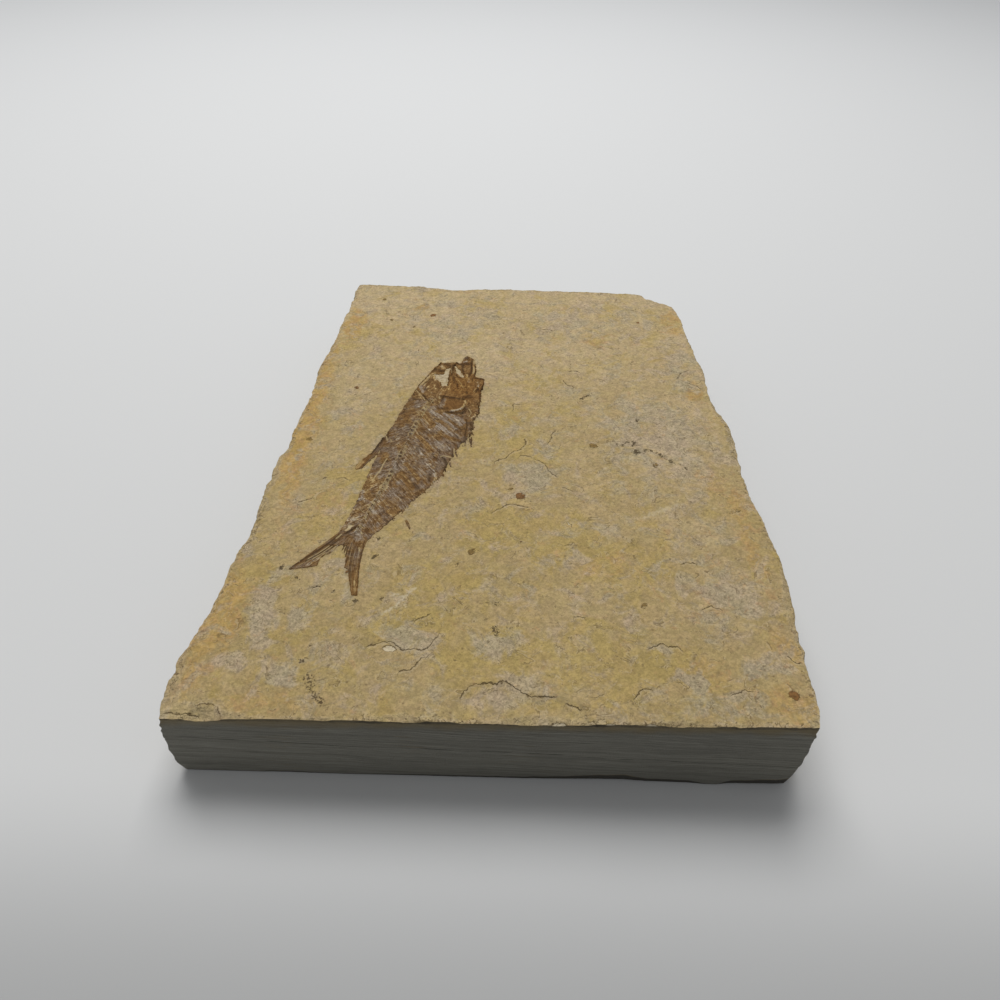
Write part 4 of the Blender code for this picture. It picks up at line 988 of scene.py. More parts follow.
def make_blotch_group():
    """Soft-edged blotches: a share between 0 and 1 of a second tone, with ragged rims."""
    desk, start, end = new_group("blotches", {"Size": 10.0, "Amount": 0.5, "Softness": 0.1}, ["Share"])
    field = desk.cloud(desk.measured(start["Spot"], start["Size"]), 1.0, 7.0, 0.66, 0.7)
    level = desk.minus(0.74, desk.times(start["Amount"], 0.48))
    low = desk.minus(level, start["Softness"])
    high = desk.plus(level, start["Softness"])
    desk.feed(end["Share"], desk.step(field, low, high))


def make_flake_group():
    """Edges of thin flakes: broken curly hairlines along the contours of a noise, the pale lip beside each
    one, and the step across it."""
    inputs = {"Size": 9.0, "Amount": 0.5, "Width": 0.01}
    desk, start, end = new_group("flake edges", inputs, ["Line", "Lip", "Step"])
    spot = desk.measured(start["Spot"], start["Size"])
    field = desk.cloud(spot, 1.0, 4.0, 0.55, 0.9)
    off = desk.over(desk.minus(field, 0.5), start["Width"])
    moved = desk.put("ShaderNodeVectorMath", {0: spot, 1: (17.0, 5.0, 3.0)}, operation="ADD").outputs[0]
    gate = desk.cloud(moved, 0.45, 2.0, 0.5)
    level = desk.minus(0.76, desk.times(start["Amount"], 0.48))
    shown = desk.step(gate, level, desk.plus(level, 0.05))
    line = desk.step(desk.distance(off), 1.0, 0.3)
    lip = desk.step(desk.distance(desk.plus(off, 1.6)), 1.3, 0.3)
    desk.feed(end["Line"], desk.times(line, shown))
    desk.feed(end["Lip"], desk.times(lip, shown))
    desk.feed(end["Step"], desk.times(desk.step(off, -1.2, 1.2), shown))


def make_layer_group():
    """Thin level layers of the stone, as they show on a cut or broken side."""
    desk, start, end = new_group("stone layers", {"Thickness": 0.5, "Waviness": 0.6}, ["Tone", "Lines"])
    parts = desk.parts(start["Spot"])
    lift = desk.swing(desk.cloud(start["Spot"], 20.0, 3.0, 0.5), start["Waviness"])
    level = desk.over(desk.plus(parts[2], lift), start["Thickness"])
    flat = desk.joined(parts[0], parts[1], desk.times(level, 30.0))
    desk.feed(end["Tone"], desk.cloud(flat, 30.0, 3.0, 0.6))
    fine = desk.joined(parts[0], parts[1], desk.times(level, 45.0))
    desk.feed(end["Lines"], desk.cloud(fine, 14.0, 4.0, 0.65))


def make_fibre_group():
    """Fibres and splinters of fossil bone, which run along the spot's first axis."""
    desk, start, end = new_group("bone fibres", {"Width": 0.4}, ["Thin", "Wide"])
    spot = desk.measured(start["Spot"], start["Width"])
    desk.feed(end["Thin"], desk.cloud(desk.stretch(spot, (0.17, 1.0, 1.0)), 1.0, 3.0, 0.6, 0.6))
    wide = desk.stretch(spot, (0.25, 1.0, 1.0), (9.0, 4.0, 0.0))
    desk.feed(end["Wide"], desk.cloud(wide, 3.2, 3.0, 0.55, 0.8))


def new_material(name):
    """A material and its desk, its Principled shader, and the spot on the piece in millimetres."""
    material = bpy.data.materials.new(name)
    material.use_nodes = True
    desk = Desk(material.node_tree)
    shader = material.node_tree.nodes["Principled BSDF"]
    place = desk.put("ShaderNodeTexCoord").outputs["Object"]
    return material, desk, shader, desk.scaled(place, 1.0 / MM)


def finish_material(desk, shader, colour, height, roughness, gloss):
    """Feeds a material's shader. The height is in millimetres."""
    bump = desk.put("ShaderNodeBump", {"Strength": 1.0, "Distance": MM, "Height": height})
    desk.feed(shader.inputs["Base Color"], colour)
    desk.feed(shader.inputs["Normal"], bump.outputs[0])
    desk.feed(shader.inputs["Roughness"], roughness)
    shader.inputs["Specular IOR Level"].default_value = gloss


def tint(red, green, blue):
    return (red, green, blue, 1.0)


# Finishes of the stone
KHAKI = tint(0.411, 0.304, 0.137)
BEIGE = tint(0.510, 0.395, 0.225)
YELLOW = tint(0.427, 0.311, 0.103)
OCHRE = tint(0.470, 0.305, 0.098)
ORANGE = tint(0.450, 0.270, 0.125)
PINKISH_GREY = tint(0.445, 0.352, 0.236)
COOL_GREY = tint(0.408, 0.342, 0.230)
OLIVE_TINGE = tint(0.99, 1.0, 0.97)
ROSY_TINGE = tint(1.01, 0.995, 1.025)
CREAM = tint(0.690, 0.600, 0.430)
STAIN = tint(0.220, 0.140, 0.060)
PELLET_BROWN = tint(0.190, 0.085, 0.024)
PELLET_OLIVE = tint(0.200, 0.125, 0.038)
SOOT_BROWN = tint(0.066, 0.044, 0.020)
HAIRLINE = tint(0.130, 0.085, 0.040)
LIP = tint(0.560, 0.450, 0.280)
BROKEN_BUFF = tint(0.440, 0.355, 0.220)
BROKEN_GREY = tint(0.330, 0.290, 0.215)
SAWN_GREY = tint(0.305, 0.293, 0.248)
SAWN_DARK = tint(0.146, 0.140, 0.117)
# Pale streaks of the saw marks, partly painted glint
SAWN_PALE_AND_GLINT = tint(0.410, 0.405, 0.360)
# Dark layer lines and seam of the sawn face, and also the painted shadow under its top edge
SAWN_LINE_AND_EDGE_SHADE = tint(0.045, 0.042, 0.034)
SAWN_RIND = tint(0.280, 0.215, 0.110)
# Painted shade for the gap under the sawn face's raised lower edge
PAINTED_GAP_SHADE = tint(0.070, 0.065, 0.053)

# The blotches of each tone on the face: size, how much of it the painted patches add, and how much is
# there anyway
BLOTCHES = {"yellow": (9.0, 0.58, 0.35), "grey": (6.0, 0.58, 0.34), "ochre": (6.0, 0.62, 0.18)}


def stone_patches(desk, spot):
    """Colour of the weathered face before its grain, and the shares of the tones in it."""
    y = desk.parts(spot)[1]
    far = desk.scale_add(desk.step(y, -40.0, 90.0), 0.7, desk.minus(desk.cloud(spot, 30.0, 3.0), 0.35))
    pale = desk.times(desk.mark("beige"), desk.step(desk.cloud(spot, 8.0, 4.0, 0.6), 0.38, 0.56))
    colour = desk.blend(desk.most(far, pale), KHAKI, BEIGE)
    patch = {}
    for tone, (size, share, base) in BLOTCHES.items():
        amount = desk.scale_add(desk.mark(tone), share, base)
        if tone == "yellow":
            amount = desk.scale_add(desk.mark("beige"), -0.30, amount)
        moved = desk.aside(spot, size * 3.0, size)
        patch[tone] = desk.group("blotches", Spot=moved, Size=size, Amount=amount, Softness=0.09)["Share"]
    colour = desk.lay(colour, patch["yellow"], 0.64, YELLOW)
    colour = desk.lay(colour, patch["ochre"], 0.78, OCHRE)
    grey = desk.blend(desk.step(desk.cloud(spot, 14.0, 2.0), 0.4, 0.6), COOL_GREY, PINKISH_GREY)
    colour = desk.lay(colour, patch["grey"], 0.8, grey)
    amount = desk.scale_add(desk.mark("ochre"), 0.25, 0.22)
    moved = desk.aside(spot, 40.0, 9.0)
    freckle = desk.group("blotches", Spot=moved, Size=3.4, Amount=amount, Softness=0.05)["Share"]
    return desk.lay(colour, freckle, 0.45, ORANGE), patch


def stone_grain(desk, spot, colour, patch):
    """Colour of the face with its grain, specks and flake edges, the grain, and the height."""
    grain = desk.group("mineral grain", Spot=spot, Size=0.46)
    mottle = desk.cloud(desk.aside(spot, 31.0, 8.0), 2.4, 5.0, 0.62, 1.0)
    colour = desk.shaded(colour, desk.step(mottle, 0.38, 0.62, 0.91, 1.09))
    rosy = desk.step(desk.cloud(desk.aside(spot, 7.0, 70.0), 4.5, 5.0, 0.65, 0.8), 0.40, 0.60)
    colour = desk.blend(1.0, colour, desk.blend(rosy, OLIVE_TINGE, ROSY_TINGE), "MULTIPLY")
    busy = desk.scale_add(patch["grey"], 0.08, 0.155)
    low, high = desk.minus(1.0, busy), desk.plus(1.0, busy)
    colour = desk.shaded(colour, desk.step(grain["Tone"], 0.40, 0.60, low, high))

    patchy = desk.step(desk.cloud(spot, 16.0, 2.0), 0.42, 0.60, 0.26, 0.46)
    more = desk.scale_add(patch["grey"], 0.24, patchy)
    at_rim = desk.scale_add(desk.mark("rim"), 1.0, -0.10)
    height = desk.times(desk.cloud(spot, 3.0, 3.0, 0.5, 0.6), 0.13)
    height = desk.scale_add(grain["Height"], 0.13, height)
    lips, lines = [], []
    for size, amount, width, lip, line, rise in (
        (9.0, 0.42, 0.011, 0.40, 0.50, 0.09),
        (3.0, more, 0.020, 0.34, 0.48, 0.04),
        (2.0, at_rim, 0.035, 0.55, 0.65, 0.12),
    ):
        flakes = desk.group("flake edges", Spot=spot, Size=size, Amount=amount, Width=width)
        lips.append(desk.times(flakes["Lip"], lip))
        lines.append(desk.times(flakes["Line"], line))
        height = desk.scale_add(flakes["Step"], rise, height)
    colour = desk.blend(desk.most(desk.most(lips[0], lips[1]), lips[2]), colour, LIP)
    colour = desk.blend(desk.most(desk.most(lines[0], lines[1]), lines[2]), colour, HAIRLINE)
    specks = desk.times(grain["Grains"], desk.step(desk.cloud(spot, 9.0, 3.0), 0.42, 0.62, 0.10, 0.55))
    specks = desk.most(specks, desk.times(desk.times(grain["Grains"], patch["grey"]), 0.50))
    return desk.blend(specks, colour, HAIRLINE), grain, height


def stone_face(desk, spot):
    """Colour of the weathered face, and its height in millimetres."""
    colour, patch = stone_patches(desk, spot)
    chip = desk.mark("chip")
    colour = desk.lay(colour, chip, 0.35, LIP)
    colour, grain, height = stone_grain(desk, spot, colour, patch)

    jagged = desk.swing(desk.cloud(spot, 1.7, 4.0, 0.65), 2.2)
    off = desk.plus(desk.mark("crack_side"), jagged)
    crack = desk.times(desk.step(desk.distance(off), 0.19, 0.06), desk.mark("crack"))
    crack = desk.times(crack, desk.step(desk.cloud(spot, 1.8, 3.0), 0.32, 0.52, 0.30, 1.0))
    lip = desk.times(desk.step(desk.distance(desk.plus(off, 0.36)), 0.30, 0.10), desk.mark("crack"))
    colour = desk.lay(colour, lip, 0.35, LIP)
    colour = desk.lay(colour, crack, 0.80, HAIRLINE)
    stain = desk.times(desk.mark("stain"), desk.step(grain["Tone"], 0.35, 0.65, 0.3, 1.0))
    colour = desk.blend(stain, colour, STAIN)

    ragged = desk.swing(desk.cloud(spot, 1.6, 4.0, 0.7, 0.8), 1.9)
    pellet = desk.step(desk.plus(desk.mark("pellet"), ragged), 0.40, 0.62)
    pellet = desk.times(pellet, desk.step(desk.mark("pellet"), 0.02, 0.2))
    brown = desk.blend(desk.mark("olive"), PELLET_BROWN, PELLET_OLIVE)
    brown = desk.shaded(brown, desk.step(desk.cloud(spot, 0.7, 3.0), 0.35, 0.65, 0.7, 1.35))
    colour = desk.lay(colour, pellet, 0.9, brown)
    crumbs = desk.swing(desk.cloud(spot, 0.55, 3.0, 0.7, 0.5), 3.6)
    soot = desk.step(desk.plus(desk.mark("soot"), crumbs), 0.38, 0.72)
    soot = desk.times(soot, desk.step(desk.mark("soot"), 0.02, 0.3))
    colour = desk.lay(colour, soot, 0.85, SOOT_BROWN)
    moon = desk.scale_add(ragged, 0.75, desk.mark("moon"))
    whitish = desk.times(desk.step(moon, 0.0, 0.25, 0.0, 0.8), desk.step(desk.mark("moon"), -0.2, 0.1))
    colour = desk.blend(whitish, colour, CREAM)
    outline = desk.step(desk.distance(desk.plus(moon, 0.06)), 0.12, 0.03, 0.0, 0.45)
    outline = desk.times(outline, desk.step(desk.mark("moon"), -0.4, -0.2))
    colour = desk.blend(outline, colour, HAIRLINE)
    scratch = desk.times(desk.mark("scratch"), desk.step(desk.cloud(spot, 0.9, 3.0), 0.38, 0.58, 0.1, 1.0))
    colour = desk.lay(colour, scratch, 0.7, CREAM)

    height = desk.scale_add(desk.times(desk.step(off, -0.2, 0.2), desk.mark("crack")), 0.16, height)
    height = desk.scale_add(crack, -0.10, height)
    height = desk.scale_add(pellet, 0.18, height)
    height = desk.scale_add(desk.step(moon, -0.05, 0.05), -0.20, height)
    chipped = desk.times(chip, desk.cloud(spot, 1.4, 4.0, 0.65, 0.8))
    return colour, desk.scale_add(chipped, 0.45, height)


def broken_stone(desk, spot):
    """Colour and height of the rough broken sides."""
    layers = desk.group("stone layers", Spot=spot, Thickness=0.9, Waviness=1.6)
    blotch = desk.group("blotches", Spot=spot, Size=9.0, Amount=0.5, Softness=0.12)["Share"]
    share = desk.scale_add(blotch, 0.45, desk.step(layers["Tone"], 0.38, 0.62, 0.0, 0.5))
    colour = desk.blend(share, BROKEN_BUFF, BROKEN_GREY)
    colour = desk.blend(desk.step(layers["Lines"], 0.56, 0.70, 0.0, 0.6), colour, OCHRE)
    grain = desk.group("mineral grain", Spot=spot, Size=0.5)
    colour = desk.shaded(colour, desk.step(grain["Tone"], 0.36, 0.64, 0.74, 1.20))
    height = desk.scale_add(layers["Lines"], 0.35, desk.times(grain["Height"], 0.25))
    return colour, desk.scale_add(desk.cloud(spot, 1.8, 4.0, 0.65, 0.5), 0.35, height)


def sawn_stone(desk, spot):
    """Colour and height of the sawn face, with its fine level saw marks."""
    x, y, z = desk.parts(spot)
    leaning = desk.joined(x, y, desk.scale_add(x, SAW_LEAN, z))
    marks = desk.group("stone layers", Spot=leaning, Thickness=0.17, Waviness=2.6)
    bands = desk.group("stone layers", Spot=leaning, Thickness=0.80, Waviness=2.0)
    banded = desk.step(bands["Tone"], 0.40, 0.60, -0.05, 0.12)
    share = desk.scale_add(desk.step(marks["Tone"], 0.42, 0.58), 0.50, banded)
    colour = desk.blend(share, SAWN_GREY, SAWN_DARK)
    # Pale streaks along the saw marks: partly pale stone, partly painted glint
    colour = desk.blend(desk.step(marks["Lines"], 0.58, 0.67, 0.0, 0.50), colour, SAWN_PALE_AND_GLINT)
    colour = desk.lay(colour, desk.step(bands["Lines"], 0.61, 0.65), 0.50, SAWN_LINE_AND_EDGE_SHADE)
    seam = desk.minus(desk.parts(leaning)[2], desk.scale_add(desk.cloud(spot, 26.0, 3.0), 3.2, 10.4))
    seam = desk.step(desk.distance(seam), 0.16, 0.05)
    seam = desk.times(seam, desk.step(desk.cloud(spot, 7.0, 3.0), 0.42, 0.55))
    colour = desk.lay(colour, seam, 0.75, SAWN_LINE_AND_EDGE_SHADE)
    depth = desk.minus(desk.scale_add(x, math.tan(WEDGE), SLAB_THICKNESS), z)
    rind = desk.step(desk.scale_add(desk.cloud(spot, 6.0, 4.0, 0.6), 4.0, depth), 6.4, 2.8)
    colour = desk.lay(colour, rind, 0.75, SAWN_RIND)
    # Painted shadow: a dark line just under the top edge, where the chipped rim overhangs the sawn face
    edge = desk.step(desk.scale_add(desk.cloud(spot, 1.6, 4.0, 0.65), 1.4, depth), 2.1, 1.4)
    edge = desk.times(edge, desk.step(desk.cloud(spot, 12.0, 3.0), 0.36, 0.60, 0.25, 0.75))
    colour = desk.blend(edge, colour, SAWN_LINE_AND_EDGE_SHADE)
    rust = desk.step(desk.cloud(spot, 22.0, 2.0), 0.5, 0.6)
    rust = desk.times(desk.step(bands["Lines"], 0.56, 0.66), rust)
    colour = desk.lay(colour, rust, 0.30, OCHRE)
    # Painted light: the sawn face is lighter towards its left end and darker in its lowest few millimetres,
    # next to the floor
    colour = desk.shaded(colour, desk.step(x, -72.0, -15.0, 1.13, 1.0))
    colour = desk.shaded(colour, desk.step(z, 2.0, 9.0, 0.90, 1.0))
    height = desk.scale_add(marks["Lines"], 0.25, desk.times(marks["Tone"], 0.16))
    return colour, desk.scale_add(bands["Tone"], 0.10, height)


def make_limestone():
    material, desk, shader, spot = new_material("split limestone")
    face, face_height = stone_face(desk, spot)
    side, side_height = broken_stone(desk, spot)
    cut, cut_height = sawn_stone(desk, spot)
    ragged = desk.swing(desk.cloud(spot, 0.9, 3.0, 0.6), 1.6)
    broken = desk.step(desk.plus(desk.mark("side"), ragged), 0.45, 0.70)
    y = desk.parts(spot)[1]
    sawn = desk.step(y, FRONT_Y + 0.16, FRONT_Y + 0.06)
    sawn = desk.times(sawn, desk.step(desk.mark("side"), 0.05, 0.3))
    colour = desk.blend(sawn, desk.blend(broken, face, side), cut)
    # Painted shade: the underside strip just behind the sawn face, in the gap under its raised lower edge,
    # is coloured dark
    gap = desk.times(desk.step(desk.mark("foot"), 0.1, 0.4), desk.step(y, FRONT_Y + 3.5, FRONT_Y + 1.2))
    colour = desk.blend(gap, colour, PAINTED_GAP_SHADE)
    height = desk.blend_heights(sawn, desk.blend_heights(broken, face_height, side_height), cut_height)
    finish_material(desk, shader, colour, height, 0.86, 0.2)
    return material


# Finishes of the bone, each from its darkest to its palest tone
WARM_BONE = [
    (0.00, tint(0.035, 0.018, 0.006)), (0.22, tint(0.088, 0.042, 0.012)), (0.45, tint(0.184, 0.097, 0.033)),
    (0.62, tint(0.278, 0.160, 0.058)), (0.80, tint(0.425, 0.290, 0.125)), (1.00, tint(0.600, 0.460, 0.230)),
]
COOL_BONE = [
    (0.00, tint(0.036, 0.022, 0.012)), (0.22, tint(0.085, 0.052, 0.029)), (0.45, tint(0.180, 0.120, 0.074)),
    (0.62, tint(0.275, 0.204, 0.142)), (0.80, tint(0.400, 0.332, 0.258)), (1.00, tint(0.570, 0.490, 0.375)),
]
CRUST_PALE = tint(0.450, 0.310, 0.135)
# Dark crust lines, and the dark of the grooves, partly painted shade
CRUST_DARK_AND_GROOVE_SHADE = tint(0.050, 0.028, 0.010)
# Pale bone lines, partly painted glint on the crests
BONE_LINE_AND_GLINT = tint(0.480, 0.370, 0.190)
GOLDEN_TINGE = tint(0.970, 0.840, 0.620)

# How far each mark shifts the bone's tone
TONE_SHIFTS = {"dark": -0.27, "lilac_and_sheen": 0.16, "pale": 0.33}


def make_bone():
    """Fossil bone: a crumbly brown crust. The mesh's marks shift its tone, and fine splinters vary it."""
    material, desk, shader, spot = new_material("fossil bone")
    fibres = desk.group("bone fibres", Spot=desk.mark("fibre", "Vector"), Width=0.42)
    crumbs = desk.cloud(spot, 0.90, 4.0, 0.70, 1.2)
    thin = desk.minus(fibres["Thin"], 0.5)
    wide = desk.minus(fibres["Wide"], 0.5)
    loose = desk.minus(crumbs, 0.5)
    calm = desk.mark("calm")
    quiet = desk.most(calm, desk.mark("even"))
    breakup = desk.scale_add(loose, 1.8, desk.times(thin, 1.6))
    breakup = desk.times(breakup, desk.scale_add(quiet, -0.8, 1.0))

    tone = desk.scale_add(thin, 1.15, desk.times(wide, 0.45))
    tone = desk.scale_add(loose, 1.20, tone)
    tone = desk.times(tone, desk.scale_add(quiet, -0.55, 1.0))
    tone = desk.scale_add(calm, -0.13, desk.plus(tone, 0.515))
    tone = desk.scale_add(desk.mark("even"), -0.05, tone)
    # Painted highlight: raised bones, vertebrae, fin rays and the gill cover are made lighter
    tone = desk.scale_add(desk.mark("raised_bone_highlight"), 0.12, tone)
    for name, shift in TONE_SHIFTS.items():
        mark = desk.mark(name)
        amount = desk.step(desk.plus(mark, breakup), 0.25, 0.80)
        amount = desk.times(amount, desk.step(mark, 0.02, 0.25))
        tone = desk.scale_add(amount, shift, tone)
    hue = desk.plus(desk.cloud(spot, 4.0, 4.0, 0.6, 0.5), desk.times(thin, 0.5))
    hue = desk.scale_add(desk.mark("lilac_and_sheen"), 0.40, hue)
    hue = desk.scale_add(desk.mark("ochre"), -0.35, hue)
    cool = desk.step(hue, 0.42, 0.70)
    colour = desk.blend(cool, desk.ramp(tone, WARM_BONE), desk.ramp(tone, COOL_BONE))

    crust = desk.group("flake edges", Spot=spot, Size=2.4, Amount=0.62, Width=0.040)
    rest = desk.sum("SUBTRACT", 1.0, quiet, clamp=True)
    colour = desk.lay(colour, desk.times(crust["Lip"], rest), 0.28, CRUST_PALE)
    colour = desk.lay(colour, desk.times(crust["Line"], rest), 0.40, CRUST_DARK_AND_GROOVE_SHADE)
    for name, finish, share in (("groove", CRUST_DARK_AND_GROOVE_SHADE, 0.62), ("line", BONE_LINE_AND_GLINT, 0.78)):
        amount = desk.step(desk.scale_add(breakup, 0.30, desk.mark(name)), 0.22, 0.72, 0.0, share)
        colour = desk.blend(amount, colour, finish)
    colour = desk.blend(desk.mark("golden"), colour, GOLDEN_TINGE, "MULTIPLY")

    film = desk.step(desk.scale_add(breakup, 0.6, desk.mark("film")), 0.15, 0.60)
    stone = desk.blend(desk.cloud(spot, 5.0, 3.0), KHAKI, PINKISH_GREY)
    grain = desk.group("mineral grain", Spot=spot, Size=0.42)
    stone = desk.shaded(stone, desk.step(grain["Tone"], 0.38, 0.62, 0.80, 1.20))
    height = desk.scale_add(crumbs, 0.16, desk.times(fibres["Thin"], 0.16))
    height = desk.scale_add(fibres["Wide"], 0.20, height)
    height = desk.scale_add(crust["Step"], 0.06, height)
    roughness = desk.step(film, 0.0, 1.0, 0.88, 0.76)
    finish_material(desk, shader, desk.blend(film, stone, colour), height, roughness, 0.14)
    return material


# The slab

AT_EDGE = 1e-6  # how near a share of the sheet has to be to its edge to count as on it
NORMAL_REACH = 0.012  # over which share of a side its direction is taken
TUCK = 12.0  # how far the stone falls back under the sawn face
PELLET_HEIGHT = 0.16
SIDE_WAVE = 0.16  # how far the layers of the broken sides wave up and down
UNDER_ROUNDING = 1.4  # how quickly the stone rounds off under its lower edge
FAR_FROM_CHIP = -3.0  # the mark of a spot that is not near a pale chip
FAR_FROM_CRACK = 3.0  # the mark of a spot that is not near a crack

# How much wider than its table says a mark is painted, as its rim is frayed
PELLET_SPREAD = 1.35
SOOT_SPREAD = 1.7
STREAK_SPREAD = 1.4
SCRATCH_SPREAD = 1.5

SCRAPED_WINDOW = 0.65  # how scraped the stone is between the bones
CRACK_FADE = 0.8  # over which length a crack fades at its ends
STAIN_STRENGTH = 0.30


def line_points(line, shares):
    """Points at shares of a broken line's length."""
    line = np.array(line)
    ways = np.concatenate([[0.0], np.cumsum(np.hypot(*np.diff(line, axis=0).T))])
    ways /= ways[-1]
    return np.column_stack([np.interp(shares, ways, line[:, axis]) for axis in (0, 1)])


def ragged_side(line, shares, outward, seed):
    """A broken side's top edge, with small teeth that fade out at its two ends."""
    points = line_points(line, shares)
    teeth = rough(points, (0.42, 3.1, seed), (0.26, 1.2, seed + 1))
    return points + np.outer(teeth * between(shares, 0.0, 0.03, 0.97, 1.0), outward)


def slab_plan(u, v):
    """Where the sheet's squares lie in plan, and how far each point is from the slab's rim."""
    front = line_points(FRONT_SIDE, u)
    far = ragged_side(FAR_SIDE, u, (0.0, 1.0), 41)
    left = ragged_side(LEFT_SIDE, v, (-1.0, 0.0), 43)
    right = ragged_side(RIGHT_SIDE, v, (1.0, 0.0), 45)
    u, v = u[:, None], v[:, None]
    corners = [np.array(corner) for corner in (LEFT_SIDE[0], RIGHT_SIDE[0], LEFT_SIDE[-1], RIGHT_SIDE[-1])]
    flat = (1 - v) * front + v * far + (1 - u) * left + u * right
    flat -= (1 - u) * (1 - v) * corners[0] + u * (1 - v) * corners[1]
    flat -= (1 - u) * v * corners[2] + u * v * corners[3]
    inward = np.min([np.hypot(*(flat - side).T) for side in (front, far, left, right)], axis=0)
    return flat, inward


def from_front(spots, reach):
    """0 at the sawn face, rising to 1 at a reach behind it."""
    return unit((spots[:, 1] - FRONT_Y) / reach)


def chip_depth(spots):
    """How far the top edge is chipped back."""
    depth = EVEN_CHIP + EVEN_CHIP_ROUGHNESS * noise_at(spots, 6.0, 2)
    for place, reach, cut in CHIPS:
        depth += cut * np.exp(-((np.hypot(*(spots - np.array(place)).T) / reach) ** 2))
    depth += rough(spots, (0.45, 1.9, 31), (0.30, 0.8, 32))
    return np.maximum(depth, LEAST_CHIP)


def chip_drop(spots, inward, chip):
    """How far the chipped rim falls away, in small ledges."""
    steepness = CHIP_FALL * (0.5 + 0.5 * from_front(spots, 10.0))
    drop = steepness * chip * unit(1.0 - inward / chip) ** 1.2
    ledge = drop / LEDGE + 0.45 * noise_at(spots, 1.7, 33)
    ledge = np.maximum(LEDGE * (np.floor(ledge) + smooth(ledge - np.floor(ledge), 0.45, 0.95)), 0.0)
    return np.where(drop > 0.0, 0.35 * drop + 0.65 * ledge * unit(drop / 0.15), 0.0)


def top_plane(x):
    return SLAB_THICKNESS + math.tan(WEDGE) * x


def top_height(spots):
    """The split surface: flat along the fish, gently uneven elsewhere, lower in the lost flakes."""
    rest = spots - FISH_START
    away = np.abs(rest[:, 0] * BACKWARDS[1] - rest[:, 1] * BACKWARDS[0])
    wild = unit((away - FLAT_HALF_WIDTH) / FLAT_BLEND)
    height = top_plane(spots[:, 0]) + UNEVENNESS * wild * noise_at(spots, UNEVEN_SCALE, 1)
    height += (0.03 + 0.05 * wild) * noise_at(spots, 9.0, 51) + 0.025 * noise_at(spots, 4.0, 52)
    for depth, loop in FLAKES:
        close = near(spots, loop, 2.0)
        if len(close):
            inside = within(spots[close], loop) + 0.3 * noise_at(spots[close], 2.0, 53)
            height[close] -= depth * smooth(inside, 0.0, 0.7)
    for place, radius, _ in PELLETS:
        height += PELLET_HEIGHT * disc(spots, place, radius)
    for place, *shape in PALE_CHIPS:
        height -= PALE_CHIP_DEPTH * smooth(1.0 - ellipse_share(spots, place, *shape), -0.1, 0.3)
    return height


def ring_offset(spots, share, swell):
    """How far a ring of a broken side stands out, between the steps of the stone's layers."""
    levels = [ring[0] for ring in SIDE_RINGS]
    index = min(int(np.searchsorted(levels, share, side="right")) - 1, len(levels) - 2)
    (low, low_swell, low_layer), (high, high_swell, high_layer) = SIDE_RINGS[index : index + 2]
    part = (share - low) / (high - low)

    def layer_step(layer):
        return rough(spots, (LAYER_STEP, LAYER_SCALE, 3 + layer), (SPLINTERY, SPLINTERY_SCALE, 13 + layer))

    step = layer_step(low_layer) if part < 1.0 else 0.0
    if high_layer != low_layer or part == 1.0:
        step = step + (layer_step(high_layer) - step) * part
    return swell * (low_swell + (high_swell - low_swell) * part), step


def soft_limit(values, limit, reach=1.0):
    """Values eased so that none goes past a limit."""
    over = np.abs(values) - (limit - reach)
    eased = limit - reach + reach * np.tanh(np.maximum(over, 0.0) / reach)
    return np.where(over > 0.0, np.sign(values) * eased, values)


def side_faces(u, v):
    """Which points are on the sawn face, and for the others which way their side faces and its swell."""
    on_front = v < AT_EDGE
    on_left, on_right = (u < AT_EDGE) & ~on_front, (u > 1.0 - AT_EDGE) & ~on_front
    on_far = ~on_front & ~on_left & ~on_right
    swell = np.where(on_right, SIDE_SWELL["right"], SIDE_SWELL["far"])
    swell = np.where(on_left, SIDE_SWELL["left"], swell)
    outward = np.zeros((len(u), 2))
    for side, line, shares, turn in (
        (on_left, LEFT_SIDE, v, -1.0), (on_right, RIGHT_SIDE, v, 1.0), (on_far, FAR_SIDE, u, -1.0),
    ):
        shares = np.where(side, shares, 0.5)
        run = line_points(line, unit(shares + NORMAL_REACH))
        run = run - line_points(line, unit(shares - NORMAL_REACH))
        normal = np.column_stack([run[:, 1], -run[:, 0]]) / np.hypot(*run.T)[:, None]
        outward[side] = turn * normal[side]
    return on_front, outward, swell


def foot_height(flat):
    """Height of the slab's lower edge over the ground."""
    sawn = at(LOWER_EDGE, flat[:, 0])
    broken = BROKEN_EDGE_HEIGHT + BROKEN_EDGE_ROUGHNESS * noise_at(flat, 14.0, 19)
    low = sawn + (broken - sawn) * from_front(flat, LOWER_EDGE_BLEND)
    low += 0.25 * noise_at(flat, 2.3, 61) * smooth(low, 0.2, 1.0)
    return np.maximum(low, 0.0)


def sawn_end(spots, number, share):
    """Where a ring's points lie along the sawn face, whose two upright ends are ragged."""
    slant = (spots[:, 0] - LEFT_SIDE[0][0]) / (RIGHT_SIDE[0][0] - LEFT_SIDE[0][0])
    spread = SIDE_SWELL["right"] * slant - SIDE_SWELL["left"] * (1.0 - slant)
    size = at([(level, amount) for level, amount, _ in SIDE_RINGS], share)
    ragged = 0.9 * noise.noise(Vector((number * 0.37, 4.0, 1.0)))
    ragged += 0.6 * noise.noise(Vector((number * 1.3, 9.0, 1.0)))
    corner = unit(np.abs(2.0 * slant - 1.0) * 20.0 - 19.0) * math.sin(math.pi * share)
    return spots[:, 0] + (size * spread - ragged * corner)


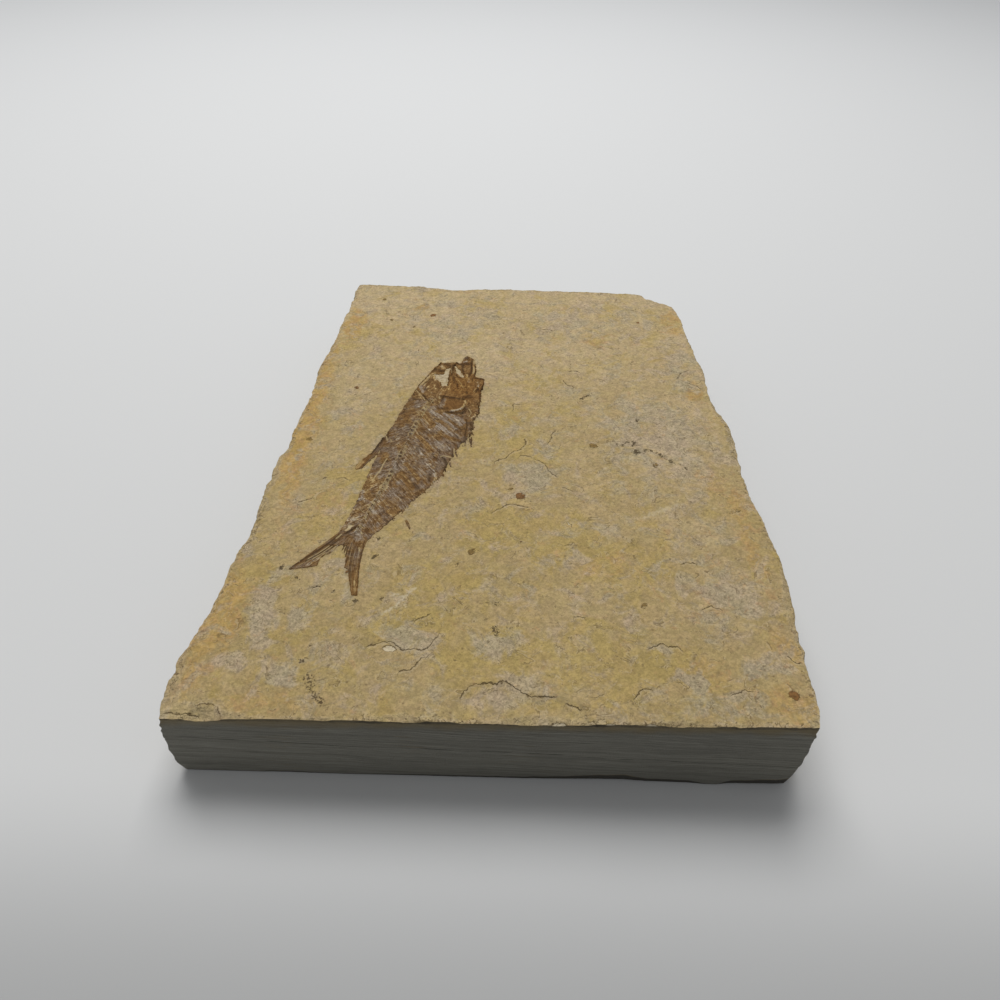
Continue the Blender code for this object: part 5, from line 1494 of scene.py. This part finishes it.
def shape_slab(raw):
    """Final places of the sheet's points, and the marks of the stone on them."""
    u, v = raw[:, 0] + 0.5, raw[:, 1] + 0.5
    u -= EDGE_FINENESS * np.sin(2 * math.pi * u) / (2 * math.pi)
    v -= EDGE_FINENESS * np.sin(2 * math.pi * v) / (2 * math.pi)
    ring = np.rint(-raw[:, 2]).astype(int)
    flat, inward = slab_plan(u, v)
    chip = chip_depth(flat)
    rim = np.minimum(top_height(flat) - chip_drop(flat, inward, chip), SLAB_TOP)
    places = np.column_stack([flat, rim])
    on_front, outward, swell = side_faces(u, v)
    fade = from_front(flat, SIDE_BLEND)
    low = foot_height(flat)

    last = len(RING_SHARES)
    for number, share in enumerate(RING_SHARES, start=1):
        here = np.flatnonzero(ring == number)
        spots = flat[here]
        swell_out, step = ring_offset(spots, share, swell[here])
        lamina = rough(spots, (0.30, 7.0, 70 + number), (0.22, 2.4, 100 + number // 2))
        out = swell_out + fade[here] * (step + lamina * smooth(share, 0.0, 0.06))
        moved = spots + outward[here] * out[:, None]
        moved[:, 0] = np.where(on_front[here], sawn_end(spots, number, share), moved[:, 0])
        moved[:, 1] = np.where(on_front[here], FRONT_Y, moved[:, 1])
        places[here, :2] = moved
        wave = SIDE_WAVE * noise_at(spots, 5.0, 130 + number) * math.sin(math.pi * share)
        places[here, 2] = rim[here] + (low[here] - rim[here]) * share + wave * fade[here]
    for number, share in enumerate(UNDER_SHARES, start=last + 1):
        here = np.flatnonzero(ring == number)
        spots = flat[here]
        even = spots * (1.0 + (FOOT_SHARE - 1.0) * share)
        tucked_y = FRONT_Y + 0.05 + UNDERCUT * low[here] + TUCK * (share - UNDER_SHARES[0])
        tucked = np.column_stack([spots[:, 0] * 0.996, tucked_y])
        front = (1.0 - from_front(spots, 8.0)) * (share < 1.0)
        places[here, :2] = even + (tucked - even) * front[:, None]
        level = (1.0 - share) ** UNDER_ROUNDING
        places[here, 2] = low[here] * (level + (0.15 * level - level) * front)
    broken = (ring > 1) & (ring <= last) & ~on_front
    grit = rough(places[broken], (0.24, 2.0, 201), (0.12, 0.9, 202))
    places[broken, :2] += outward[broken] * (grit * fade[broken])[:, None]
    places[:, 0] = soft_limit(places[:, 0], SLAB_WIDTH / 2)
    eased = soft_limit(places[:, 1], SLAB_LENGTH / 2, 0.6)
    places[:, 1] = np.where(places[:, 1] > 0.0, eased, places[:, 1])
    places[:, 2] = np.maximum(places[:, 2], 0.0)
    marks = {
        "chip": smooth(chip - inward, -0.10, 0.35),
        "side": smooth(ring.astype(float), 0.0, 2.0),
        "rim": fall(inward, 0.3, 2.8) * unit(0.65 + 0.6 * noise_at(flat, 8.0, 88)),
        "foot": ring > last,
    }
    return places, marks


def stone_marks(spots):
    """The marks of the stone's face: patches of colour, pellets, soot, cracks and scratches."""
    strayed = spots + drift(spots, 6.0, 91) * 3.0
    strayed += drift(spots, 2.5, 93) * 1.2
    marks = {
        tone: strongest(strength * ellipse(strayed, *shape) for strength, *shape in patches)
        for tone, patches in PATCHES.items()
    }
    marks["pellet"] = strongest(
        strength * disc(spots, place, radius * PELLET_SPREAD) for place, radius, strength in PELLETS
    )
    marks["olive"] = strongest(disc(spots, place, radius) for place, radius in OLIVE_PELLETS)
    marks["moon"] = strongest((1.0 - ellipse_share(spots, *shape) for shape in PALE_CHIPS), FAR_FROM_CHIP)
    marks["soot"] = strongest(
        [disc(spots, place, radius * SOOT_SPREAD) for place, radius in SOOT]
        + [strength * stroke(spots, line, half * STREAK_SPREAD) for strength, half, line in SOOT_STREAKS]
    )
    marks["scratch"] = strongest(
        [strength * stroke(spots, line, half * SCRATCH_SPREAD) for strength, half, line in SCRATCHES]
        + [SCRAPED_WINDOW * smooth(within(spots, window), -0.6, 0.3) for window in WINDOWS]
    )
    crack = np.zeros(len(spots))
    crack_side = np.full(len(spots), FAR_FROM_CRACK)
    for line in CRACKS:
        close = near(spots, line, CRACK_REACH)
        gap, turn, way = to_line(spots[close], line)
        length = sum(math.dist(a, b) for a, b in zip(line, line[1:]))
        amount = fall(gap, 0.9, CRACK_REACH) * between(way, 0.0, CRACK_FADE, length - CRACK_FADE, length)
        better = amount > crack[close]
        crack[close[better]] = amount[better]
        crack_side[close[better]] = (gap * turn)[better]
    marks["crack"] = crack
    marks["crack_side"] = crack_side
    marks["stain"] = STAIN_STRENGTH * smooth(fish_depth(spots), -0.7, 0.1)
    return marks


def make_slab(material):
    rings = len(RING_SHARES) + len(UNDER_SHARES)
    slab = add_sheet("limestone", TOP_COLUMNS, TOP_ROWS, rings)
    places, marks = shape_slab(read_places(slab.data))
    for name, amounts in {**marks, **stone_marks(places[:, :2])}.items():
        write_mark(slab.data, name, amounts)
    write_places(slab.data, places)
    finish_piece(slab, "limestone_slab", material, 50.0)


# The fish

RIB_LEAN = 0.75
SPINE_LEAN = 1.0
# Teeth along the belly: pitch, start and end, how far each runs back and out, and half its width
SCUTES = (2.1, 14.0, 60.0, 1.5, 0.75, 0.34)
FINE_TEETH = (0.75, 60.0, 84.0, 0.9, 0.85, 0.15)
RAY_PITCH = 0.46
RAY_JOINT = 0.55
RIB_DICE = 400  # how many ribs of a row get a chance of their own
RIB_PITCH = 1.8
FINE_PITCH = 0.9  # of the finest bones between the ribs, and of the grooves between those
HEAD_END = 24.0
EDGE_SPINE_HALVES = (0.42, 0.12)
TOOTH_TIP_HALF = 0.04

# The gill cover: middle, half length, half width and turn. The small ring of bone has a middle and a radius
GILL_COVER = ((-15.9, 15.2), 4.6, 3.9, 8.0)
ROSETTE_PLACE = (-32.7, -24.2)
ROSETTE_RADIUS = 1.05

# Heights of the bones over the stone
SKIN_HEIGHT = 0.13
LEAST_HEIGHT = 0.06
BONE_HEIGHT = 0.30
DRUM_HEIGHT = 0.55
RAY_HEIGHT = 0.14
HEAD_LIFT = 0.10
HEAD_SWELL = 0.30
COVER_HEIGHT = 0.62
ROSETTE_HEIGHT = 0.12
SUNK = 0.30  # how far the skin goes down into the stone where it ends


def fish_frame(spots):
    rest = spots - FISH_START
    return np.column_stack([rest @ BACKWARDS, rest @ BELLYWARDS])


def slab_frame(spots):
    return FISH_START + np.outer(spots[:, 0], BACKWARDS) + np.outer(spots[:, 1], BELLYWARDS)


def belly_teeth():
    """Roots and tips of the scutes along the belly and of the finer teeth behind them."""
    teeth = []
    for pitch, start, end, back, out, half in (SCUTES, FINE_TEETH):
        for index in range(int((end - start) / pitch)):
            place = start + index * pitch
            size = 0.75 + 0.5 * noise.noise(Vector((place * 1.7, half * 9.0, 0.4)))
            edge = float(at(BELLY_EDGE, place))
            root = (place - 0.3, edge - 0.45)
            tip = (place + back * size, edge + out * size * 0.8)
            teeth.append((root, tip, half, TOOTH_TIP_HALF))
    return teeth


def fish_depth(spots):
    """How far each spot of the slab's frame lies inside the fish's outline, below zero outside it."""
    own = fish_frame(spots)
    amount = np.full(len(spots), OUTSIDE)
    close = near(own, FISH_BOX, 3.0)
    body = BACK_EDGE + TAIL_FORK[::-1] + BELLY_EDGE[::-1] + HEAD_FRONT
    for loop in (body, UPPER_OUTER + UPPER_INNER, LOWER_OUTER + LOWER_INNER, FIN_OUTER + FIN_INNER):
        amount[close] = np.maximum(amount[close], within(own[close], loop))
    for tooth in belly_teeth():
        amount = np.maximum(amount, spine(own, *tooth))
    for root, tip in EDGE_SPINES:
        amount = np.maximum(amount, spine(spots, root, tip, *EDGE_SPINE_HALVES))
    return amount


def rays(own, edge):
    """Fin rays that run along an outer edge."""
    gap, _, way = to_line(own, edge)
    wave = 0.5 + 0.5 * np.cos(2.0 * math.pi * (gap / RAY_PITCH - 0.35))
    joint = 0.5 + 0.5 * np.cos(2.0 * math.pi * way / RAY_JOINT)
    return wave**1.5 * (0.85 + 0.15 * joint)


class Zones:
    """Where each spot of the slab's frame lies on the fish, and how much of each part is there."""

    def __init__(self, spots):
        self.spots = spots
        self.own = fish_frame(spots)
        s, t = self.own[:, 0], self.own[:, 1]
        self.s, self.t = s, t
        self.inside = fish_depth(spots)
        spine_t = at(BACKBONE, s)
        self.across = t - spine_t
        self.belly = self.across > 0.0
        self.out = np.abs(self.across)
        reach = np.where(self.belly, at(BELLY_EDGE, s) - spine_t, spine_t - at(BACK_EDGE, s))
        self.reach = np.maximum(reach, 1.0)
        self.head = fall(s, 21.0, 27.0)
        self.trunk = between(s, 22.0, 27.0, 87.0, 90.5)
        self.behind = between(s, 62.0, 70.0, 86.0, 90.0)
        self.tail = smooth(s, 87.0, 91.0)
        self.upper = self.tail * (self.across < -0.6)
        self.lower = self.tail * (self.across >= -0.6)
        self.fin = smooth(-within(self.own, FIN_OUTER + FIN_INNER), 0.3, 0.0)
        self.cover = ellipse(spots, *GILL_COVER)
        fan = rays(self.own, UPPER_OUTER) * self.upper + rays(self.own, LOWER_OUTER) * self.lower
        self.fan = np.maximum(fan, rays(self.own, FIN_OUTER) * self.fin)
        self.drums, self.rims, self.cores = self.vertebrae()
        self.bones = self.ribs_and_spines() * self.trunk

    def ribs(self, pitch, lean, bend, half_width, seed, first, last, shift=0.0):
        """Thin bones that run back and out from the backbone, one to a pitch: 1 on a bone, 0 beside it."""
        start = self.s + shift - lean * self.out - bend * self.out * self.out
        index = np.rint(start / pitch).astype(int)
        pick = np.clip(index + RIB_DICE // 4, 0, RIB_DICE - 1)
        dice = np.random.default_rng(seed)
        moved = dice.uniform(-0.14, 0.14, RIB_DICE)[pick]
        size = dice.uniform(0.55, 1.0, RIB_DICE)[pick]
        length = dice.uniform(0.72, 1.0, RIB_DICE)[pick]
        off = (start - (index + moved) * pitch) / np.sqrt(1.0 + lean * lean)
        width = half_width * (1.15 - 0.55 * unit(self.out / self.reach))
        amount = size * np.exp(-((off / width) ** 2))
        amount *= fall(self.out / self.reach, length - 0.12, length)
        place = index * pitch
        return amount * smooth(place, first - 1.0, first + 1.0) * fall(place, last - 1.0, last + 1.0)

    def ribs_and_spines(self):
        near_ribs = self.ribs(RIB_PITCH, RIB_LEAN, 0.004, 0.27, 5, 22.0, 86.0)
        far_ribs = self.ribs(RIB_PITCH, RIB_LEAN + 0.12, 0.010, 0.20, 6, 22.0, 84.0, 0.9)
        hairs = self.ribs(0.62, RIB_LEAN + 0.35, 0.0, 0.13, 7, 24.0, 86.0)
        neural = self.ribs(RIB_PITCH, SPINE_LEAN, 0.0, 0.20, 8, 24.0, 86.0)
        neural_hairs = self.ribs(0.55, SPINE_LEAN + 0.3, 0.0, 0.12, 9, 24.0, 86.0)
        below = np.maximum(near_ribs, 0.6 * far_ribs) + 0.3 * hairs
        return np.where(self.belly, below, 0.8 * neural + 0.35 * neural_hairs)

    def vertebrae(self):
        """The centra: heights of waisted drums with a narrow gap between them, their pale rims and dark
        middles."""
        half = at([(24.0, 0.85), (50.0, 0.85), (70.0, 0.70), (88.0, 0.55)], self.s)
        phase = self.s / VERTEBRA_PITCH
        waist = 0.5 + 0.5 * np.cos(2.0 * math.pi * phase)
        half = half * (0.78 + 0.22 * waist)
        drum = np.sqrt(unit(1.0 - (self.across / half) ** 2))
        end = np.abs(phase - np.rint(phase)) * VERTEBRA_PITCH
        gap = fall(end, 0.05, 0.20)
        shown = between(self.s, 23.0, 26.0, 86.0, 89.0)
        rim = np.maximum(fall(end, 0.14, 0.34), fall(np.abs(self.out - half), 0.08, 0.26))
        rim *= fall(self.out, half, half + 0.35)
        core = smooth(end, 0.30, 0.58) * fall(self.out, half - 0.45, half - 0.15)
        return drum * (0.72 + 0.28 * waist) * (1.0 - 0.30 * gap) * shown, rim * shown, core * shown


def fish_relief(fish):
    """Height of the bones over the stone, before the strokes."""
    spots, head = fish.spots, fish.head
    scales = noise_at(spots, 1.5, 302)
    height = SKIN_HEIGHT + 0.05 * noise_at(spots, 4.5, 303) + 0.05 * scales
    height += 0.035 * noise_at(spots, 0.55, 301)
    height += BONE_HEIGHT * fish.bones * (0.75 + 0.5 * scales) + DRUM_HEIGHT * fish.drums
    height += RAY_HEIGHT * fish.fan
    vault = unit(1.0 - (fish.out / np.maximum(fish.reach, 2.0)) ** 2)
    height += HEAD_LIFT * head + HEAD_SWELL * head * vault * smooth(fish.s, 8.0, 18.0)
    return height * (1.0 - 0.7 * fish.cover) + fish.cover * COVER_HEIGHT


def fish_tones(fish, height):
    """The strokes and tones of the bones, and the height with the strokes' share."""
    spots, s, out, across, trunk = fish.spots, fish.s, fish.out, fish.across, fish.trunk
    tones = {tone: np.zeros(len(spots)) for tone in STROKES}

    def add(tone, amount):
        tones[tone] = np.maximum(tones[tone], amount)

    seen = spots + np.column_stack([np.zeros(len(spots)), SLANT_SHIFT * height])
    for tone, strokes in STROKES.items():
        for strength, half_width, lift, line in strokes:
            amount = stroke(seen, line, half_width)
            add(tone, strength * amount)
            height += lift * amount
    to_rosette = np.hypot(spots[:, 0] - ROSETTE_PLACE[0], spots[:, 1] - ROSETTE_PLACE[1])
    rosette = fall(np.abs(to_rosette - ROSETTE_RADIUS), 0.12, 0.34)
    height += ROSETTE_HEIGHT * rosette

    gold = fish.head * smooth(spots[:, 0], -22.0, -15.0) * fall(spots[:, 1], 30.0, 35.0)
    gold *= 0.45 + 0.55 * smooth(spots[:, 1], 19.5, 22.5)
    gold *= 1.0 - 0.5 * smooth(spots[:, 0], -10.5, -8.5)
    add("ochre", np.maximum(0.30 * fish.head + 0.70 * gold, 0.8 * fish.cover))
    golden = np.maximum(0.20 * fish.head + 0.80 * gold, 0.7 * fish.cover)
    golden = np.maximum(golden, 0.25 * tones["ochre"])
    # Painted sheen: a lighter, cooler band over the ribs along the middle of the body
    add("lilac_and_sheen", 0.20 * smooth(s, 36.0, 44.0) * (1.0 - 0.5 * smooth(s, 62.0, 72.0)) * fall(s, 84.0, 90.0))

    speckle = smooth(noise_at(spots, 0.8, 304), -0.05, 0.35)
    add("pale", 0.30 * fish.behind)
    add("pale", 0.35 * between(s, 62.0, 68.0, 84.0, 90.0) * smooth(-across, 2.0, 4.5))
    add("pale", 0.45 * speckle * np.exp(-((out / 2.4) ** 2)) * trunk * (1.0 - 0.7 * smooth(s, 34.0, 40.0)))

    worn = 0.55 + 0.45 * smooth(noise_at(spots, 6.0, 311), -0.2, 0.3)
    bared = smooth(rough(spots, (1.0, 7.0, 317), (0.4, 1.4, 318)), -0.22, 0.22)
    patchy = smooth(noise_at(spots, 3.0, 316), -0.15, 0.35)
    fine_ribs = fish.ribs(FINE_PITCH, RIB_LEAN + 0.05, 0.004, 0.09, 11, 24.0, 86.0, 0.4)
    fine_spines = fish.ribs(FINE_PITCH, SPINE_LEAN + 0.05, 0.0, 0.09, 12, 24.0, 86.0, 0.4)
    fine_bones = np.where(fish.belly, 0.45 * fine_ribs, 0.60 * fine_spines)
    # Pale lines on the fine bones, vertebra rims and fin rays: partly pale bone, partly painted glint on
    # their crests
    add("line", fine_bones * patchy * trunk * smooth(out, 0.6, 1.4) * (1.0 - 0.5 * fish.behind))
    add("line", np.maximum(rosette, fish.rims * worn * (0.55 + 0.45 * bared) * (0.85 + 0.25 * speckle)))
    add("line", 0.45 * fish.fan**4 * (0.3 + 0.7 * patchy))

    lean = np.where(fish.belly, RIB_LEAN, SPINE_LEAN)
    gaps = fish.ribs(FINE_PITCH, lean + 0.05, 0.002, 0.10, 13, 24.0, 88.0, 0.85)
    # Dark grooves between the fine bones, partly painted shade
    add("groove", 0.50 * gaps * (1.0 - 0.6 * patchy) * trunk)
    add("groove", 0.80 * fish.cores * bared * smooth(s, 34.0, 40.0))
    teeth = strongest((spine(fish.own, *tooth) for tooth in belly_teeth()), OUTSIDE)
    add("groove", 0.7 * smooth(teeth, -0.10, 0.06))

    add("dark", 0.50 * fall(fish.inside, 0.10, 0.80) * smooth(noise_at(spots, 1.6, 312), -0.10, 0.35))
    # Painted shade: darker between the fin rays of the tail, and between the ribs, spines and vertebrae of
    # the trunk
    add("dark", 0.4 * smooth(0.55 - fish.fan, 0.0, 0.5) * fish.tail)
    add("dark", 0.35 * (1.0 - fish.bones) * trunk * (1.0 - fish.drums) * (1.0 - 0.6 * fish.behind))
    spotty = smooth(noise_at(spots, 1.1, 305), 0.20, 0.5) * (1.0 - 0.8 * fish.cover)
    add("dark", 0.6 * spotty * (1.0 - 0.5 * fish.head))
    return {**tones, "golden": golden}, height


def fish_skin(fish):
    """How whole the film of bone is at each spot, and where the fish is there at all."""
    spots, own, s = fish.spots, fish.own, fish.s
    tatters = smooth(noise_at(spots, 1.3, 306), 0.30, 0.62) * fall(fish.inside, 0.6, 3.5) * fish.trunk * 0.6
    fray = smooth(rough(spots, (1.0, 0.9, 307), (0.5, 0.35, 308)), 0.0, 0.7)
    upper_tip = smooth(-within(own, UPPER_OUTER + UPPER_INNER), -1.6, -0.2) * smooth(s, 96.0, 100.0)
    fork = smooth(s, 91.0, 93.0) * fall(np.abs(fish.across - 0.2), 0.8, 2.2)
    trailing = np.maximum(upper_tip * (fish.across < -3.0), fork)
    film = 1.0 - np.maximum(tatters, 0.8 * trailing * fray)
    wobble = rough(spots, (0.34, 1.5, 313), (0.26, 0.7, 309), (0.12, 0.33, 310))
    wobble *= 1.0 - 0.6 * fish.tail
    solid = smooth(fish.inside + wobble, -0.14, 0.20)
    for window in WINDOWS:
        close = near(spots, window, 1.5)
        solid[close] *= fall(within(spots[close], window) + 1.3 * wobble[close], -0.25, 0.15)
    return film, solid


def fibre_run(fish):
    """Places along and across the bones, for the fibres to follow."""
    s, out = fish.s, fish.out
    lean = np.where(fish.belly, RIB_LEAN, SPINE_LEAN)
    slant = np.hypot(1.0, lean)
    swirl = drift(fish.spots, 3.5, 314) * 1.4 * fish.head[:, None]
    along = np.where(s < HEAD_END, s + swirl[:, 0], out * slant)
    side = np.where(s < HEAD_END, fish.t + swirl[:, 1], (s - lean * out) / slant)
    for edge, zone in ((UPPER_OUTER, fish.upper), (LOWER_OUTER, fish.lower), (FIN_OUTER, fish.fin)):
        gap, _, way = to_line(fish.own, edge)
        along, side = np.where(zone > 0.5, way, along), np.where(zone > 0.5, gap, side)
    return np.column_stack([along, side, np.where(fish.belly, 0.0, 20.0)])


def shape_fish(spots):
    """Height of the fish's skin over the stone, the marks of its bones and the run of their fibres."""
    fish = Zones(spots)
    marks, height = fish_tones(fish, fish_relief(fish))
    film, solid = fish_skin(fish)
    height = np.maximum(height, LEAST_HEIGHT)
    height = -SUNK + (SUNK + height * (0.35 + 0.65 * film)) * solid
    rear = smooth(fish.s, 58.0, 66.0) * (1.0 - fish.tail) * smooth(fish.across, -1.0, 3.0)
    even = np.maximum(np.maximum(0.25 * fish.head, 0.60 * rear), 0.60 * np.maximum(fish.tail, fish.fin))
    marks["film"] = film * solid
    # Where raised bone lies, lightened in the shader as a painted highlight
    marks["raised_bone_highlight"] = unit(fish.bones + fish.drums + fish.fan + 0.15 * fish.head + 0.8 * fish.cover)
    marks["calm"] = fish.cover
    marks["even"] = even
    return height, marks, fibre_run(fish)


def make_fish(material):
    low, high = np.array(FISH_BOX[0]), np.array(FISH_BOX[1])
    columns, rows = np.rint((high - low) / FISH_GRAIN).astype(int)
    fish = add_sheet("fish_skeleton", int(columns), int(rows), 0)

    def sheet_spots():
        return slab_frame(low + (read_places(fish.data)[:, :2] + 0.5) * (high - low))

    trim_sheet(fish, fish_depth(sheet_spots()) < -FISH_MARGIN)
    spots = sheet_spots()
    height, marks, fibre = shape_fish(spots)
    write_places(fish.data, np.column_stack([spots, top_height(spots) + height]))
    for name, amounts in marks.items():
        write_mark(fish.data, name, amounts)
    write_run(fish.data, fibre)
    pull_down_rim(fish, 1)
    places = read_places(fish.data) / MM
    floor = top_plane(places[:, 0]) - FISH_UNDERSIDE
    places[:, 2] = np.where(places[:, 2] < 0.0, floor, places[:, 2])
    write_places(fish.data, places)
    finish_piece(fish, "fossil_fish", material, 60.0)


# The splinter

SPLINTER_LIFT = 0.02
SPLINTER_TAPER = 0.35
SPLINTER_BEND = 0.12
SPLINTER_GROOVES = 7.0
GROOVE_TWIST = 2.0
GROOVE_DEPTH = 0.10
GROOVE_ROUGHNESS = 0.12
SPLINTER_MARKS = {
    "dark": 0.35, "ochre": 0.2, "lilac_and_sheen": 0.2, "pale": 0.0, "film": 1.0, "raised_bone_highlight": 0.5, "calm": 0.0,
    "even": 0.0, "line": 0.0, "groove": 0.0,
}


def make_splinter(material):
    """A sliver of bone: a ball drawn out to a spindle, grooved along it and half sunk in the stone."""
    bpy.ops.object.select_all(action="DESELECT")
    bpy.ops.mesh.primitive_uv_sphere_add(segments=48, ring_count=64, radius=1.0)
    splinter = bpy.context.object
    splinter.name = "splinter"
    raw = read_places(splinter.data)
    start, end = (np.array(point) for point in SPLINTER_ENDS)
    length = np.hypot(*(end - start))
    run = (end - start) / length
    side = np.array([run[1], -run[0]])
    along = raw[:, 2] * length / 2
    taper = 1.0 - SPLINTER_TAPER * raw[:, 2]
    turn = np.arctan2(raw[:, 1], raw[:, 0]) * SPLINTER_GROOVES + raw[:, 2] * GROOVE_TWIST
    grooves = 1.0 + GROOVE_DEPTH * np.sin(turn) + GROOVE_ROUGHNESS * noise_at(raw, 0.35, 401)
    across = raw[:, 0] * SPLINTER_HALF_WIDTH * taper * grooves + SPLINTER_BEND * raw[:, 2] ** 2
    up = raw[:, 1] * SPLINTER_HEIGHT * grooves
    flat = (start + end) / 2 + np.outer(along, run) + np.outer(across, side)
    write_places(splinter.data, np.column_stack([flat, top_height(flat) + up + SPLINTER_LIFT]))
    for name, share in SPLINTER_MARKS.items():
        write_mark(splinter.data, name, np.full(len(raw), share))
    write_run(splinter.data, np.column_stack([along, across, up]))
    finish_piece(splinter, "bone_splinter", material, 60.0)


# Stage, light and camera


def make_floor():
    bpy.ops.object.select_all(action="DESELECT")
    bpy.ops.mesh.primitive_plane_add(size=6.0, location=(0.0, 1.0, 0.0))
    floor = bpy.context.object
    floor.name = "floor"
    material, desk, shader, spot = new_material("pale card")
    y = desk.parts(spot)[1]
    # Painted shade: the card darkens towards its front edge, nearest the camera
    painted_front_shade = desk.step(y, -1150.0, -1095.0, 0.64, 1.0)
    card = desk.blend(desk.step(y, -1200.0, 0.0), tint(0.730, 0.735, 0.735), tint(0.740, 0.750, 0.760))
    desk.feed(shader.inputs["Base Color"], desk.shaded(card, painted_front_shade))
    shader.inputs["Roughness"].default_value = 0.75
    floor.data.materials.append(material)


def light_scene():
    """A soft room, and one large window high behind the slab."""
    world = bpy.data.worlds.new("soft room")
    world.use_nodes = True
    background = world.node_tree.nodes["Background"]
    background.inputs["Color"].default_value = tint(0.97, 0.985, 1.0)
    background.inputs["Strength"].default_value = 0.26
    bpy.context.scene.world = world
    place, aim = Vector((-0.12, 0.55, 1.15)), Vector((0.0, 0.10, 0.0))
    bpy.ops.object.light_add(type="AREA", location=place)
    light = bpy.context.object
    light.name = "window behind"
    light.data.shape = "RECTANGLE"
    light.data.size = 0.9
    light.data.size_y = 0.7
    light.data.energy = 12.2
    light.data.color = (1.0, 0.995, 0.985)
    light.rotation_euler = (place - aim).to_track_quat("Z", "Y").to_euler()
    bpy.context.scene.view_settings.view_transform = "Standard"


def place_camera():
    bpy.ops.object.camera_add()
    camera = bpy.context.object
    camera.data.lens = CAMERA_LENS
    camera.data.sensor_width = CAMERA_SENSOR
    camera.data.clip_start = 0.01
    camera.data.clip_end = 20.0
    turned = Matrix.Identity(4)
    for degrees, axis in CAMERA_TURNS:
        turned = turned @ Matrix.Rotation(math.radians(degrees), 4, axis)
    camera.matrix_world = Matrix.Translation(Vector(CAMERA_PLACE) * MM) @ turned
    bpy.context.scene.camera = camera


make_grain_group()
make_blotch_group()
make_flake_group()
make_layer_group()
make_fibre_group()
make_slab(make_limestone())
bone = make_bone()
make_fish(bone)
make_splinter(bone)
make_floor()
light_scene()
place_camera()
